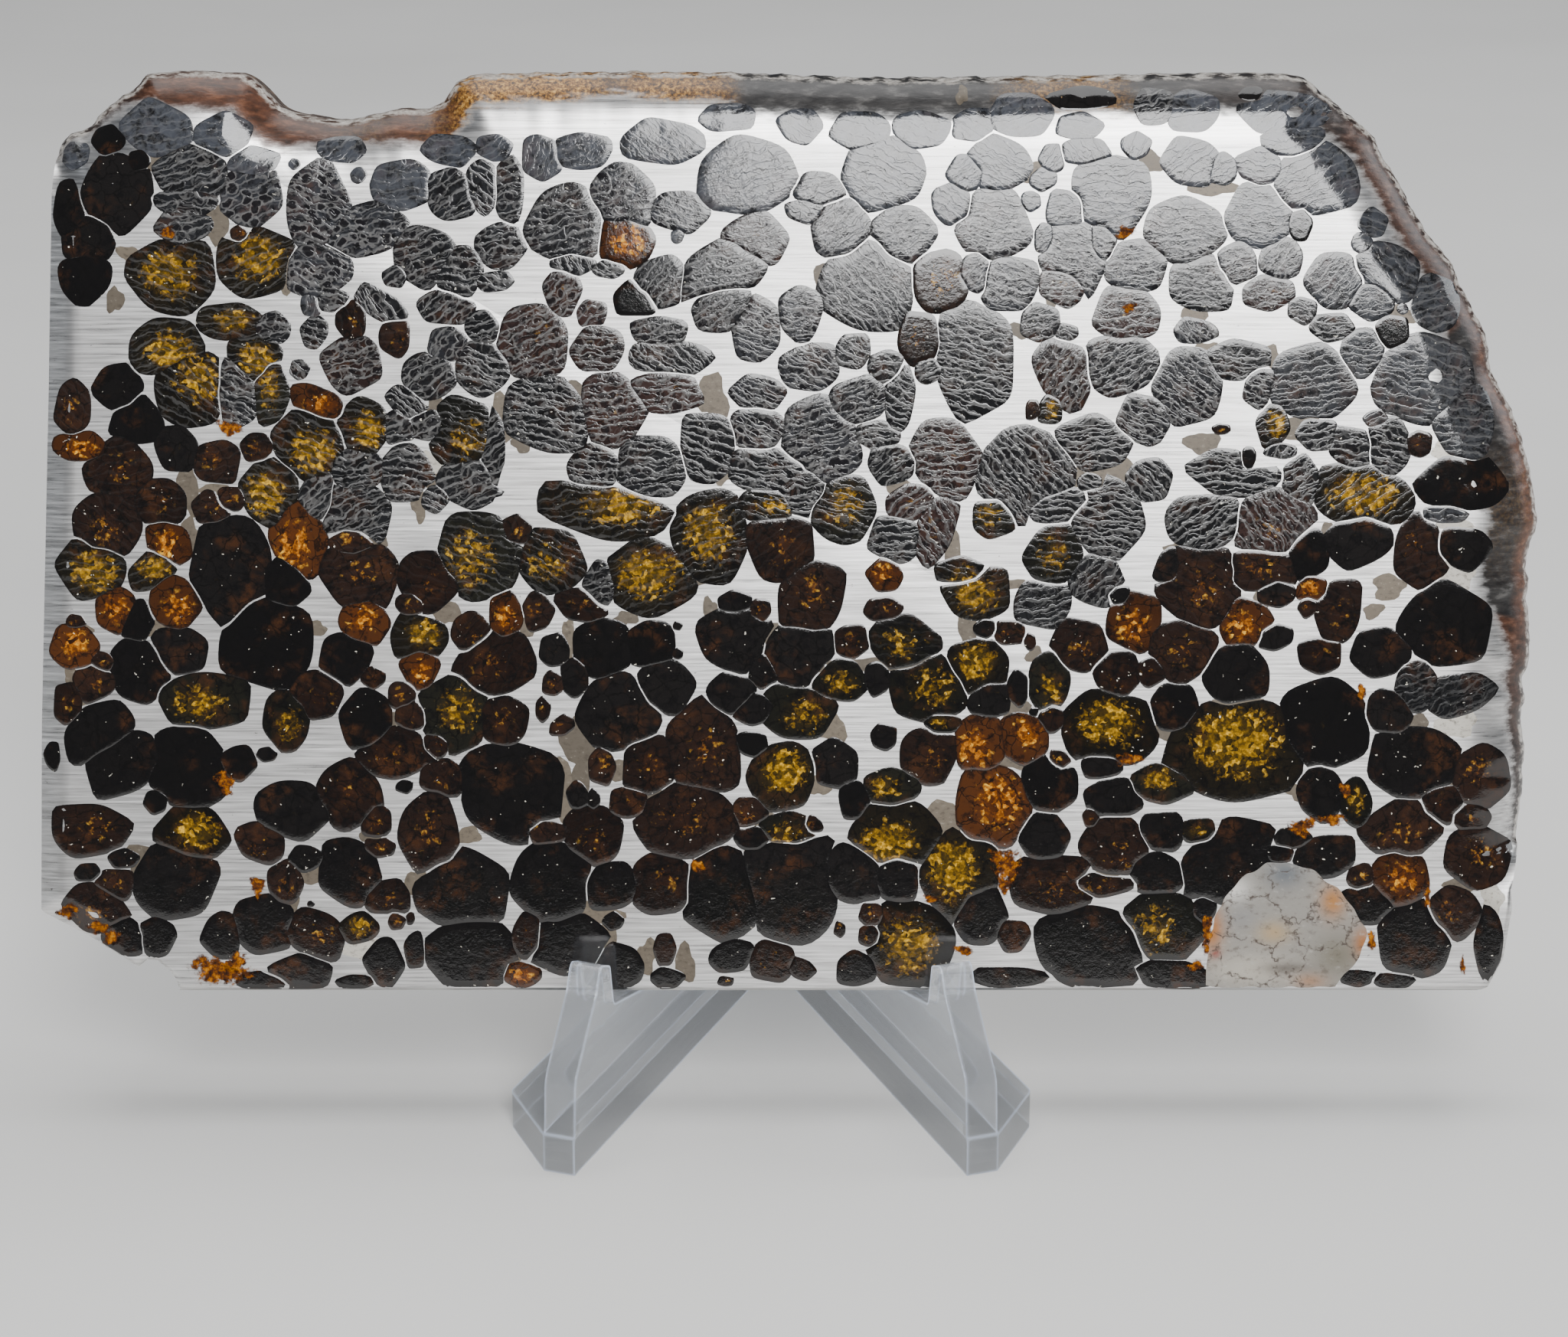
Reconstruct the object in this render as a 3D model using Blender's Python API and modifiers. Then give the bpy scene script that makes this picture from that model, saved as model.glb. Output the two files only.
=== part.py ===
"""A polished pallasite slice that leans in a clear moulded display stand.

Metres, +Z up, front towards -Y. The origin is at the middle of the footprint of the whole
object's box, on the surface that the stand rests on.
"""

import math

import bmesh
import bpy
import numpy as np
from mathutils import Matrix, Vector

MM = 0.001

# The slice
SLICE_THICKNESS = 9.0 * MM
SLICE_LEAN = math.radians(12.0)
ROLL_WIDTH = 7.0 * MM
ROLL_DEPTH = 4.5 * MM
SAW_BEVEL_WIDTH = 2.2 * MM
SAW_BEVEL_DEPTH = 0.5 * MM
EDGE_BREAK = 0.3 * MM
OUTLINE_STEP = 2.4 * MM
BACK_BREAK = 0.5 * MM
SMOOTH_UP_TO = math.radians(40.0)
SPINE_HALF_LENGTH = 38.0 * MM
SPINE_HEIGHT = 46.0 * MM
FRONT_RINGS = tuple(distance * MM for distance in (0.5, 1.3, 2.4, 3.8, 5.5, 7.5))

# The front bottom edge of the slice, measured from the tips of the stand's two noses
SLICE_FOOT_BEHIND_NOSES = 13.85 * MM
SLICE_FOOT_HEIGHT = 13.8 * MM
SLICE_FOOT_SIDEWAYS = 1.3 * MM
SLICE_MIDDLE_SIDEWAYS = 0.35 * MM
RESTING_GAP = 0.3 * MM

# The stand
ARM_TURN = math.radians(20.7)
NOSE_HALF_SPACING = 19.4 * MM
WEB_THICKNESS = 3.3 * MM
FOOT_THICKNESS = 4.0 * MM
FOOT_WIDTH = 10.4 * MM
FOOT_FRONT_RUN = 8.0 * MM
FOOT_CORNER_RADIUS = 1.6 * MM
PRONG_ROOT = 10.5 * MM
PRONG_ROOT_RADIUS = 0.8 * MM
SEAT_CORNER_RADIUS = 0.6 * MM
BACK_REST_HEIGHT = 40.0 * MM
BACK_REST_LAND = 3.5 * MM
BACK_REST_RADIUS = 0.8 * MM
WEB_REAR_RADIUS = 1.5 * MM
WEB_REAR_HEIGHT = 9.0 * MM
WEB_LENGTH = 57.0 * MM
STAND_DEPTH = 55.5 * MM
MOULD_BREAK = 0.3 * MM
MOULD_BREAK_FROM = math.radians(50.0)
PAST_THE_MIDDLE = 2.0 * MM

# The prong and the sloping front of its post seen from the side, from the top down, in
# millimetres: how far behind the nose, how high, and the radius of the corner
PRONG = ((9.7, 18.7, 0.7), (7.4, 19.6, 0.7), (6.2, 16.9, 1.5), (0.6, 9.8, 3.0))

# The middle of the whole object's box, from the middle of the two noses
BOX_MIDDLE = Vector((SLICE_FOOT_SIDEWAYS + SLICE_MIDDLE_SIDEWAYS, STAND_DEPTH / 2, 0.0))

# The outline of the slice seen from the front, anticlockwise from the lower left, in millimetres
# from the middle of the bottom edge. A rolled stretch is natural skin, a sawn one is cut straight.
BOTTOM_SAW = ((-61.0, 0.0), (70.2, 0.0))
RIGHT_CORNER = ((71.0, 0.3), (72.5, 3.2), (73.3, 8.4), (73.1, 10.2))
RIGHT_RIM = (
    (74.1, 14.6), (74.7, 20.0), (74.8, 24.6), (74.3, 27.4), (74.8, 29.4), (74.3, 31.2), (75.1, 32.8),
    (75.1, 36.8), (74.5, 39.4), (75.1, 40.8), (74.4, 42.2), (74.6, 44.0), (75.5, 46.4), (75.5, 48.4),
    (74.3, 54.0), (72.7, 58.6), (71.1, 61.0), (70.3, 63.4), (70.0, 66.0), (67.9, 69.6), (66.4, 73.0),
    (63.3, 76.7), (61.1, 80.7), (59.1, 83.9), (58.1, 85.9), (54.6, 88.6), (52.4, 90.6),
)
TOP_RIM = (
    (50.4, 91.6), (44.0, 91.7), (33.2, 91.5), (21.0, 91.3), (8.6, 91.2), (-5.0, 91.7), (-14.6, 91.8),
    (-24.2, 91.7), (-31.2, 91.5), (-32.4, 90.9), (-33.0, 89.6), (-34.0, 88.6), (-35.2, 88.1),
    (-38.6, 88.2), (-40.4, 87.6), (-43.4, 87.0), (-47.4, 87.6), (-49.6, 88.1), (-51.2, 90.0),
    (-53.0, 91.6), (-58.0, 91.9), (-62.9, 91.7),
)
SHOULDER = ((-64.0, 90.2), (-65.3, 89.6), (-67.6, 87.7), (-69.0, 86.1), (-71.3, 85.5))
LEFT_SAW = ((-71.9, 83.9), (-72.8, 61.0), (-74.3, 27.0), (-74.8, 8.1))
CHIPPED_CORNER = (
    (-70.1, 5.6), (-67.4, 3.9), (-65.1, 2.4), (-64.2, 3.2), (-63.2, 3.1), (-61.8, 1.9), (-61.2, 0.9),
)
STRETCHES = (
    ("sawn", BOTTOM_SAW), ("broken", RIGHT_CORNER), ("rolled", RIGHT_RIM), ("rolled", TOP_RIM),
    ("rolled", SHOULDER), ("bevelled", LEFT_SAW), ("broken", CHIPPED_CORNER),
)


def clear_scene():
    for thing in list(bpy.data.objects):
        bpy.data.objects.remove(thing, do_unlink=True)


def new_collection(name, parent):
    collection = bpy.data.collections.new(name)
    parent.children.link(collection)
    return collection


def principled(name, colour, **values):
    """A material whose shader's sockets take the given values, with underscores for spaces."""
    material = bpy.data.materials.new(name)
    material.use_nodes = True
    shader = material.node_tree.nodes["Principled BSDF"]
    shader.inputs["Base Color"].default_value = (*colour, 1.0)
    for socket, value in values.items():
        shader.inputs[socket.replace("_", " ")].default_value = value
    return material


def mesh_object(name, mesh, material, collection):
    thing = bpy.data.objects.new(name, mesh)
    mesh.materials.append(material)
    collection.objects.link(thing)
    return thing


def slice_outline():
    """The whole outline in metres at an even step, and the kind of edge that starts at each point."""
    points, kinds = [], []
    flat = [(kind, corner) for kind, corners in STRETCHES for corner in corners]
    for (kind, start), (_, end) in zip(flat, flat[1:] + flat[:1]):
        start, end = np.array(start) * MM, np.array(end) * MM
        steps = max(1, round(float(np.linalg.norm(end - start)) / OUTLINE_STEP))
        points += [start + (end - start) * i / steps for i in range(steps)]
        kinds += [kind] * steps
    return np.array(points), np.array(kinds)


def distance_to(places, starts, ends):
    """The shortest distance from each place to any of the straight pieces from starts to ends."""
    along = ends - starts
    share = np.einsum("pkc,kc->pk", places[:, None] - starts, along) / (along**2).sum(axis=1)
    nearest = starts + np.clip(share, 0.0, 1.0)[..., None] * along
    return np.linalg.norm(places[:, None] - nearest, axis=2).min(axis=1)


def front_depth(places, outline, kinds):
    """How far the front surface lies behind the flat face: a quarter ellipse along the rolled rim,
    a shallow bevel along the left saw cut and a small break along every other edge."""
    ends = np.roll(outline, -1, axis=0)

    def away_from(*wanted):
        chosen = np.isin(kinds, wanted)
        return distance_to(places, outline[chosen], ends[chosen])

    inside = np.clip(1.0 - away_from("rolled") / ROLL_WIDTH, 0.0, 1.0)
    roll = ROLL_DEPTH * (1.0 - np.sqrt(1.0 - inside**2))
    bevel = SAW_BEVEL_DEPTH * np.clip(1.0 - away_from("bevelled") / SAW_BEVEL_WIDTH, 0.0, 1.0)
    edge = EDGE_BREAK * np.clip(1.0 - away_from("sawn", "broken") / EDGE_BREAK, 0.0, 1.0)
    return np.maximum(np.maximum(roll, bevel), edge)


def build_slice(material, collection):
    """Rings of points run round the outline: the rolled front margin, the rim and the back edge.
    The flat front and the flat back each close with one face."""
    outline, kinds = slice_outline()
    middle = np.stack(
        [np.clip(outline[:, 0], -SPINE_HALF_LENGTH, SPINE_HALF_LENGTH), np.full(len(outline), SPINE_HEIGHT)],
        axis=1,
    )
    inward = (middle - outline) / np.linalg.norm(middle - outline, axis=1)[:, None]
    rings = []
    for distance in reversed(FRONT_RINGS):
        places = outline + inward * distance
        rings.append((places, front_depth(places, outline, kinds)))
    rings.append((outline, front_depth(outline, outline, kinds)))
    back = np.full(len(outline), SLICE_THICKNESS)
    rings.append((outline, back - BACK_BREAK))
    rings.append((outline + inward * BACK_BREAK, back))

    shape = bmesh.new()
    loops = [
        [shape.verts.new((x, depth, z)) for (x, z), depth in zip(places, depths)] for places, depths in rings
    ]
    for inner, outer in zip(loops, loops[1:]):
        for i in range(len(outline)):
            j = (i + 1) % len(outline)
            shape.faces.new((inner[i], outer[i], outer[j], inner[j]))
    shape.faces.new(loops[0])
    shape.faces.new(loops[-1][::-1])
    bmesh.ops.recalc_face_normals(shape, faces=shape.faces)
    mesh = bpy.data.meshes.new("slice")
    shape.to_mesh(mesh)
    shape.free()
    thing = mesh_object("slice", mesh, material, collection)
    thing.location = Vector((SLICE_FOOT_SIDEWAYS, SLICE_FOOT_BEHIND_NOSES, SLICE_FOOT_HEIGHT)) - BOX_MIDDLE
    thing.rotation_euler.x = -SLICE_LEAN
    mesh.shade_smooth()
    mesh.set_sharp_from_angle(angle=SMOOTH_UP_TO)
    return thing


def rounded(corners, steps=4):
    """An outline's points, each corner (x, y, radius) with a radius replaced by its arc."""
    points = []
    for before, here, after in zip(corners[-1:] + corners[:-1], corners, corners[1:] + corners[:1]):
        corner, radius = Vector(here[:2]), here[2]
        if not radius:
            points.append(corner)
            continue
        to_before = (Vector(before[:2]) - corner).normalized()
        to_after = (Vector(after[:2]) - corner).normalized()
        half = to_before.angle(to_after) / 2
        reach = radius / math.tan(half)
        centre = corner + (to_before + to_after).normalized() * radius / math.sin(half)
        first, last = corner + to_before * reach - centre, corner + to_after * reach - centre
        turn = first.angle_signed(last)
        points += [centre + Matrix.Rotation(-turn * i / steps, 2) @ first for i in range(steps + 1)]
    return points


def plate(name, outline, thickness, place, material, collection):
    """A flat plate: a 2D curve through the outline, extruded and turned into a welded mesh."""
    curve = bpy.data.curves.new(name, "CURVE")
    curve.dimensions = "2D"
    curve.fill_mode = "BOTH"
    curve.extrude = thickness / 2
    spline = curve.splines.new("POLY")
    spline.points.add(len(outline) - 1)
    for point, (x, y) in zip(spline.points, outline):
        point.co = (x, y, 0.0, 1.0)
    spline.use_cyclic_u = True
    drawn = bpy.data.objects.new(name + "_outline", curve)
    collection.objects.link(drawn)
    drawn.matrix_world = place
    bpy.context.view_layer.update()
    mesh = bpy.data.meshes.new_from_object(drawn.evaluated_get(bpy.context.evaluated_depsgraph_get()))
    solid = bmesh.new()
    solid.from_mesh(mesh)
    bmesh.ops.remove_doubles(solid, verts=solid.verts, dist=0.01 * MM)
    bmesh.ops.recalc_face_normals(solid, faces=solid.faces)
    solid.to_mesh(mesh)
    solid.free()
    thing = mesh_object(name, mesh, material, collection)
    thing.matrix_world = place
    bpy.data.objects.remove(drawn)
    return thing


def web_outline():
    """The upright plate of one arm seen from its side: the post and its prong, the ledge that the
    slice stands on, and the back rest. X runs back along the arm and Y runs up."""
    back_slope = math.tan(SLICE_LEAN)
    turned = math.cos(ARM_TURN)

    def ledge_height(run):
        outer_side = run * turned + WEB_THICKNESS * math.sin(ARM_TURN)
        return SLICE_FOOT_HEIGHT - (outer_side - SLICE_FOOT_BEHIND_NOSES) * back_slope - RESTING_GAP

    def rest_run(height):
        behind = (SLICE_THICKNESS + RESTING_GAP) / math.cos(SLICE_LEAN)
        return (SLICE_FOOT_BEHIND_NOSES + behind + (height - SLICE_FOOT_HEIGHT) * back_slope) / turned

    seat_back = rest_run(SLICE_FOOT_HEIGHT - SLICE_THICKNESS * back_slope)
    top = rest_run(BACK_REST_HEIGHT)
    prong = [tuple(value * MM for value in corner) for corner in PRONG]
    return rounded([
        (0.0, 0.0, 0.0),
        (WEB_LENGTH, 0.0, 0.0),
        (WEB_LENGTH, WEB_REAR_HEIGHT, WEB_REAR_RADIUS),
        (top + BACK_REST_LAND, BACK_REST_HEIGHT, WEB_REAR_RADIUS),
        (top, BACK_REST_HEIGHT, BACK_REST_RADIUS),
        (seat_back, ledge_height(seat_back), SEAT_CORNER_RADIUS),
        (PRONG_ROOT, ledge_height(PRONG_ROOT), PRONG_ROOT_RADIUS),
        *prong,
    ])


def arm_directions(hand):
    """Level directions of the left (-1) or right (1) arm: back along it, and outwards across it."""
    along = Vector((-hand * math.sin(ARM_TURN), math.cos(ARM_TURN), 0.0))
    outward = Vector((hand * math.cos(ARM_TURN), math.sin(ARM_TURN), 0.0))
    return along, outward


def foot_outline(hand):
    """The flat foot of one arm in plan, from the nose back past the stand's middle plane."""
    along, outward = arm_directions(hand)
    nose = Vector((hand * NOSE_HALF_SPACING, 0.0, 0.0))

    def at(run, width, radius):
        return (*(nose + along * run + outward * width).xy, radius)

    vertex_run = NOSE_HALF_SPACING / math.sin(ARM_TURN)
    rear_run = (STAND_DEPTH - FOOT_WIDTH * outward.y) / along.y
    past = -hand * PAST_THE_MIDDLE
    return rounded([
        at(0.0, 0.0, 0.0),
        at(0.0, WEB_THICKNESS, 0.0),
        at(FOOT_FRONT_RUN, FOOT_WIDTH, FOOT_CORNER_RADIUS),
        at(rear_run, FOOT_WIDTH, FOOT_CORNER_RADIUS),
        (past, STAND_DEPTH, 0.0),
        (past, vertex_run * along.y, 0.0),
        at(vertex_run, 0.0, 0.0),
    ])


def build_stand(material, collection, cutters):
    """Each arm is an upright plate on a flat foot, and the two arms run together at the back."""
    up = Vector((0.0, 0.0, 1.0))
    pieces = []
    for hand, word in ((-1, "left"), (1, "right")):
        along, outward = arm_directions(hand)
        nose = Vector((hand * NOSE_HALF_SPACING, 0.0, 0.0)) - BOX_MIDDLE
        web_place = Matrix((along, up, along.cross(up))).transposed().to_4x4()
        web_place.translation = nose + outward * WEB_THICKNESS / 2
        pieces.append(plate(f"{word}_web", web_outline(), WEB_THICKNESS, web_place, material, cutters))
        foot_place = Matrix.Translation(up * FOOT_THICKNESS / 2 - BOX_MIDDLE)
        pieces.append(plate(f"{word}_foot", foot_outline(hand), FOOT_THICKNESS, foot_place, material, cutters))
    stand = pieces[0]
    stand.name = "display_stand"
    cutters.objects.unlink(stand)
    collection.objects.link(stand)
    for other in pieces[1:]:
        other.hide_render = True
        other.display_type = "WIRE"
        union = stand.modifiers.new(f"join_{other.name}", "BOOLEAN")
        union.operation = "UNION"
        union.object = other
    edges = stand.modifiers.new("moulded_edges", "BEVEL")
    edges.width = MOULD_BREAK
    edges.segments = 1
    edges.limit_method = "ANGLE"
    edges.angle_limit = MOULD_BREAK_FROM
    return stand


def main():
    clear_scene()
    scene = bpy.context.scene
    parts = new_collection("pallasite_on_stand", scene.collection)
    cutters = new_collection("cutters", scene.collection)
    metal = principled("nickel_iron", (0.72, 0.70, 0.67), Metallic=1.0, Roughness=0.28)
    acrylic = principled("clear_acrylic", (0.96, 0.98, 1.0), Roughness=0.03, IOR=1.49)
    acrylic.node_tree.nodes["Principled BSDF"].inputs["Transmission Weight"].default_value = 1.0
    build_slice(metal, parts)
    build_stand(acrylic, parts, cutters)
    bpy.context.view_layer.update()


main()
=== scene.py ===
# %% [markdown]
# # A polished pallasite slice in a clear display stand
#
# A pallasite is a meteorite in which olivine crystals, some near-black and some golden, sit in
# nickel-iron metal. This one was sawn into a slice, ground flat and polished, and it leans in a
# clear moulded stand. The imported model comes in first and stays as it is. Everything else here is
# fitted to it, in metres, with the front of the slice towards -Y.

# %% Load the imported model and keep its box
import math

import bpy
import numpy as np
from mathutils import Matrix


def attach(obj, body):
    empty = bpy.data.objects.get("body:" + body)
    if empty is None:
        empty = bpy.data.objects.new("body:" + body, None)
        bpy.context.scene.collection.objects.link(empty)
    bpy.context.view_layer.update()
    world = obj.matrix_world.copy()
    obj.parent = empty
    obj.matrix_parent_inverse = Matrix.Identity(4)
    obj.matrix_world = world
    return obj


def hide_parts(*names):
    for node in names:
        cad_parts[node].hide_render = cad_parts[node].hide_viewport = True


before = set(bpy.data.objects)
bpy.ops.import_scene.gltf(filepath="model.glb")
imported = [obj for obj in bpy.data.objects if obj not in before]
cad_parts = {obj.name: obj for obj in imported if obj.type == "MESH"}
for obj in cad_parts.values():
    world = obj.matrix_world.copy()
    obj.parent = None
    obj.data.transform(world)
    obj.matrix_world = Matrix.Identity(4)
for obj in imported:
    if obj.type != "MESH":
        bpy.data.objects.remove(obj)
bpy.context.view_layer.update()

# %% [markdown]
# ## Shader maths as plain expressions
#
# Blender's materials are node graphs. Wiring one Math node for each sum hides the idea, so a small
# class wraps a socket and gives it the usual operators: `1 - mask` or `noise * 0.3` then adds the
# node by itself. Colours go through Mix nodes, because a Math node would turn them grey.

# %% A socket that can be added, multiplied and compared


class Value:
    """One output socket of a material's node tree, with arithmetic on it."""

    def __init__(self, tree, socket):
        self.tree = tree
        self.socket = socket

    def node(self, kind, settings=None, output=0, **sockets):
        """Adds a node of a type: its settings are set first, then its input sockets."""
        made = self.tree.nodes.new(kind)
        for name, setting in (settings or {}).items():
            if name == "stops":
                paint_ramp(made.color_ramp, setting)
            else:
                setattr(made, name, setting)
        for name, given in sockets.items():
            key = int(name[1:]) if name[0] == "i" and name[1:].isdigit() else name.replace("_", " ")
            connect(self.tree, given, made.inputs[key])
        return Value(self.tree, made.outputs[output])

    def maths(self, operation, *others):
        """A Math node with this value and up to two more."""
        given = {f"i{place}": other for place, other in enumerate((self, *others))}
        return self.node("ShaderNodeMath", {"operation": operation}, **given)

    def __add__(self, other):
        return self.maths("ADD", other)

    __radd__ = __add__

    def __sub__(self, other):
        return self.maths("SUBTRACT", other)

    def __rsub__(self, other):
        return self.node("ShaderNodeMath", {"operation": "SUBTRACT"}, i0=other, i1=self)

    def __mul__(self, other):
        return self.maths("MULTIPLY", other)

    __rmul__ = __mul__

    def between(self, low, high):
        """0 below low, 1 above high and a smooth climb between; the other way round if low > high."""
        if low < high:
            return self.node("ShaderNodeMapRange", {"interpolation_type": "SMOOTHSTEP"},
                             i0=self, i1=low, i2=high)
        return 1 - self.between(high, low)

    def ramp(self, *stops):
        """A colour for the value, from stops of (place, colour)."""
        return self.node("ShaderNodeValToRGB", {"stops": stops}, Fac=self)

    def mixed(self, other, amount):
        """This colour turned into another colour by an amount from 0 to 1."""
        return self.node("ShaderNodeMix", {"data_type": "RGBA"}, output=2, i0=amount, i6=self, i7=other)

    def blend(self, low, high):
        """The colour low at 0, high at 1 and a mixture between."""
        return self.node("ShaderNodeMix", {"data_type": "RGBA"}, output=2, i0=self, i6=low, i7=high)

    def stretched(self, x, y, z):
        """A vector with each part scaled by its own number."""
        return self.node("ShaderNodeVectorMath", {"operation": "MULTIPLY"}, i0=self, i1=(x, y, z))

    def shifted(self, other):
        """A vector moved by another vector."""
        return self.node("ShaderNodeVectorMath", {"operation": "ADD"}, i0=self, i1=other)

    def scaled(self, amount):
        """A vector times one value."""
        return self.node("ShaderNodeVectorMath", {"operation": "SCALE"}, i0=self, Scale=amount)

    def noise(self, scale, detail=3.0, roughness=0.55, output=0):
        """Soft random values around 0.5, with this vector as the place."""
        return self.node("ShaderNodeTexNoise", None, output, Vector=self, Scale=scale, Detail=detail,
                         Roughness=roughness)

    def cells(self, scale, feature="F1", output=0):
        """A Voronoi texture: distance to the cell's middle or edge, or its random colour."""
        return self.node("ShaderNodeTexVoronoi", {"feature": feature}, output, Vector=self, Scale=scale)

    def bump(self, strength, distance, **more):
        """A Bump node with this value as its height."""
        return self.node("ShaderNodeBump", Strength=strength, Distance=distance, Height=self, **more)

    def parts(self):
        """The three parts of this vector."""
        split = self.node("ShaderNodeSeparateXYZ", Vector=self).socket.node
        return [Value(self.tree, socket) for socket in split.outputs]


def paint_ramp(ramp, stops):
    """Gives a colour ramp the listed stops of (place, (red, green, blue))."""
    while len(ramp.elements) < len(stops):
        ramp.elements.new(1.0)
    for element, (place, colour) in zip(ramp.elements, stops):
        element.position = place
        element.color = (*colour, 1.0)


def connect(tree, given, socket):
    """Links a Value to a socket, or sets the socket to plain numbers."""
    if isinstance(given, Value):
        tree.links.new(given.socket, socket)
    elif isinstance(given, tuple) and len(given) == 3 and socket.type == "RGBA":
        socket.default_value = (*given, 1.0)
    else:
        socket.default_value = given


def feed(shader, **given):
    """Links values to the shader's sockets of those names, or sets the sockets to plain numbers."""
    for socket, value in given.items():
        connect(shader.id_data, value, shader.inputs[socket.replace("_", " ")])


def new_material(name, **constants):
    """A Principled material with its fixed numbers set, its shader, and a start for its nodes."""
    material = bpy.data.materials.new(name)
    material.use_nodes = True
    shader = material.node_tree.nodes["Principled BSDF"]
    feed(shader, **constants)
    return material, shader, Value(material.node_tree, None)


def attribute(start, name, output=0):
    """A mesh attribute: output 0 is its colour, 1 its vector and 2 its single number."""
    return start.node("ShaderNodeAttribute", {"attribute_name": name}, output)


print("shader maths ready")

# %% [markdown]
# ## Where the slice is
#
# The slice is easiest to describe lying flat: u runs along its bottom edge, v runs up its face and
# w goes into its thickness, all in millimetres. One short formula leans it back by 12 degrees and
# puts it on the stand. Working in these flat coordinates keeps the crystals, the rim and the
# metal in step with each other.

# %% From flat slice coordinates to the shared frame
MM = 0.001
LEAN = math.radians(12.0)
SLICE_FOOT = np.array([-0.35, -13.90, 13.80])
THICKNESS = 9.0


def lean_back(u, v, w):
    """Metres in the shared frame: u stays sideways, v goes up and back with the lean, w goes back
    and down with it."""
    x = SLICE_FOOT[0] + u
    y = SLICE_FOOT[1] + v * math.sin(LEAN) + w * math.cos(LEAN)
    z = SLICE_FOOT[2] + v * math.cos(LEAN) - w * math.sin(LEAN)
    return np.stack([x, y, z], axis=-1) * MM


print("top of the slice's face:", lean_back(np.array(0.0), np.array(91.0), np.array(0.0)).round(4))

# %% [markdown]
# ## The outline of the slice
#
# The bottom and the left are straight saw cuts, with a chip broken off their corner. The rest is
# the natural skin, which swells and dips. It is drawn from a few chosen corner points and walked
# round at an even step, and only the natural stretches are smoothed, so the saw cuts stay straight.

# %% Outline corners, in millimetres
BOTTOM_SAW = ((-61.0, 0.0), (70.2, 0.0))
RIGHT_CORNER = ((71.0, 0.3), (72.5, 3.2), (73.3, 8.4), (73.1, 10.2))
RIGHT_RIM = (
    (74.1, 14.6), (74.7, 20.0), (74.8, 24.6), (74.3, 27.4), (74.8, 29.4), (74.3, 31.2), (75.1, 32.8),
    (75.1, 36.8), (74.5, 39.4), (75.1, 40.8), (74.4, 42.2), (74.6, 44.0), (75.5, 46.4), (75.5, 48.4),
    (74.3, 54.0), (72.7, 58.6), (71.1, 61.0), (70.3, 63.4), (70.0, 66.0), (67.9, 69.6), (66.4, 73.0),
    (63.3, 76.7), (61.1, 80.7), (59.1, 83.9), (58.1, 85.9), (54.6, 88.6), (52.4, 90.6),
)
TOP_RIM = (
    (50.4, 91.6), (44.0, 91.7), (33.2, 91.5), (21.0, 91.3), (8.6, 91.2), (-5.0, 91.7), (-14.6, 91.8),
    (-24.2, 91.7), (-31.2, 91.5), (-32.4, 90.9), (-33.0, 89.6), (-34.0, 88.6), (-35.2, 88.1),
    (-38.6, 88.2), (-40.4, 87.6), (-43.4, 87.0), (-47.4, 87.6), (-49.6, 88.1), (-51.2, 90.0),
    (-53.0, 91.6), (-58.0, 91.9), (-62.9, 91.7),
)
SHOULDER = ((-64.0, 90.2), (-65.3, 89.6), (-67.6, 87.7), (-69.0, 86.1), (-71.3, 85.5))
LEFT_SAW = ((-71.9, 83.9), (-72.8, 61.0), (-74.3, 27.0), (-74.8, 8.1))
CHIPPED_CORNER = (
    (-70.1, 5.6), (-67.4, 3.9), (-65.1, 2.4), (-64.2, 3.2), (-63.2, 3.1), (-61.8, 1.9), (-61.2, 0.9),
)
SAWN, ROLLED, BEVELLED, BROKEN = range(4)
STRETCHES = (
    (SAWN, BOTTOM_SAW), (BROKEN, RIGHT_CORNER), (ROLLED, RIGHT_RIM), (ROLLED, TOP_RIM),
    (ROLLED, SHOULDER), (BEVELLED, LEFT_SAW), (BROKEN, CHIPPED_CORNER),
)
STEP = 0.55


def walk_outline():
    """Points at an even step along the closed line through the corners, and each one's kind. The
    natural stretches are averaged with their neighbours, twice, to lose the corners' sharpness,
    and then get small ripples of about a tenth of a millimetre."""
    corners = np.array([corner for _, stretch in STRETCHES for corner in stretch])
    kinds = np.array([kind for kind, stretch in STRETCHES for _ in stretch])
    closed = np.vstack([corners, corners[:1]])
    reach = np.concatenate([[0.0], np.cumsum(np.linalg.norm(np.diff(closed, axis=0), axis=1))])
    walked = np.linspace(0.0, reach[-1], int(reach[-1] / STEP), endpoint=False)
    points = np.stack([np.interp(walked, reach, closed[:, axis]) for axis in (0, 1)], axis=1)
    kind = kinds[np.searchsorted(reach, walked, side="right") - 1]
    inner = (kind == ROLLED) & (np.roll(kind, 2) == ROLLED) & (np.roll(kind, -2) == ROLLED)
    for _ in range(2):
        smoothed = (np.roll(points, 1, axis=0) + points + np.roll(points, -1, axis=0)) / 3
        points = np.where(inner[:, None], smoothed, points)
    ripple = 0.10 * np.sin(walked * 1.7) * np.sin(walked * 0.37 + 1.0) + 0.05 * np.sin(walked * 3.9)
    outward = points - np.array([0.0, 45.0])
    outward /= np.linalg.norm(outward, axis=1)[:, None]
    return points + outward * (ripple * inner)[:, None], kind


outline, outline_kind = walk_outline()
print(len(outline), "outline points, width", np.ptp(outline[:, 0]).round(1), "mm")

# %% [markdown]
# ## How the front rolls over
#
# Along the natural skin the polished face curves away over the last seven millimetres, like the
# edge of a worn pebble. A quarter ellipse gives that curve from one number, the distance to the
# edge. The left saw cut has a slight bevel and every other edge is only broken.

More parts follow.
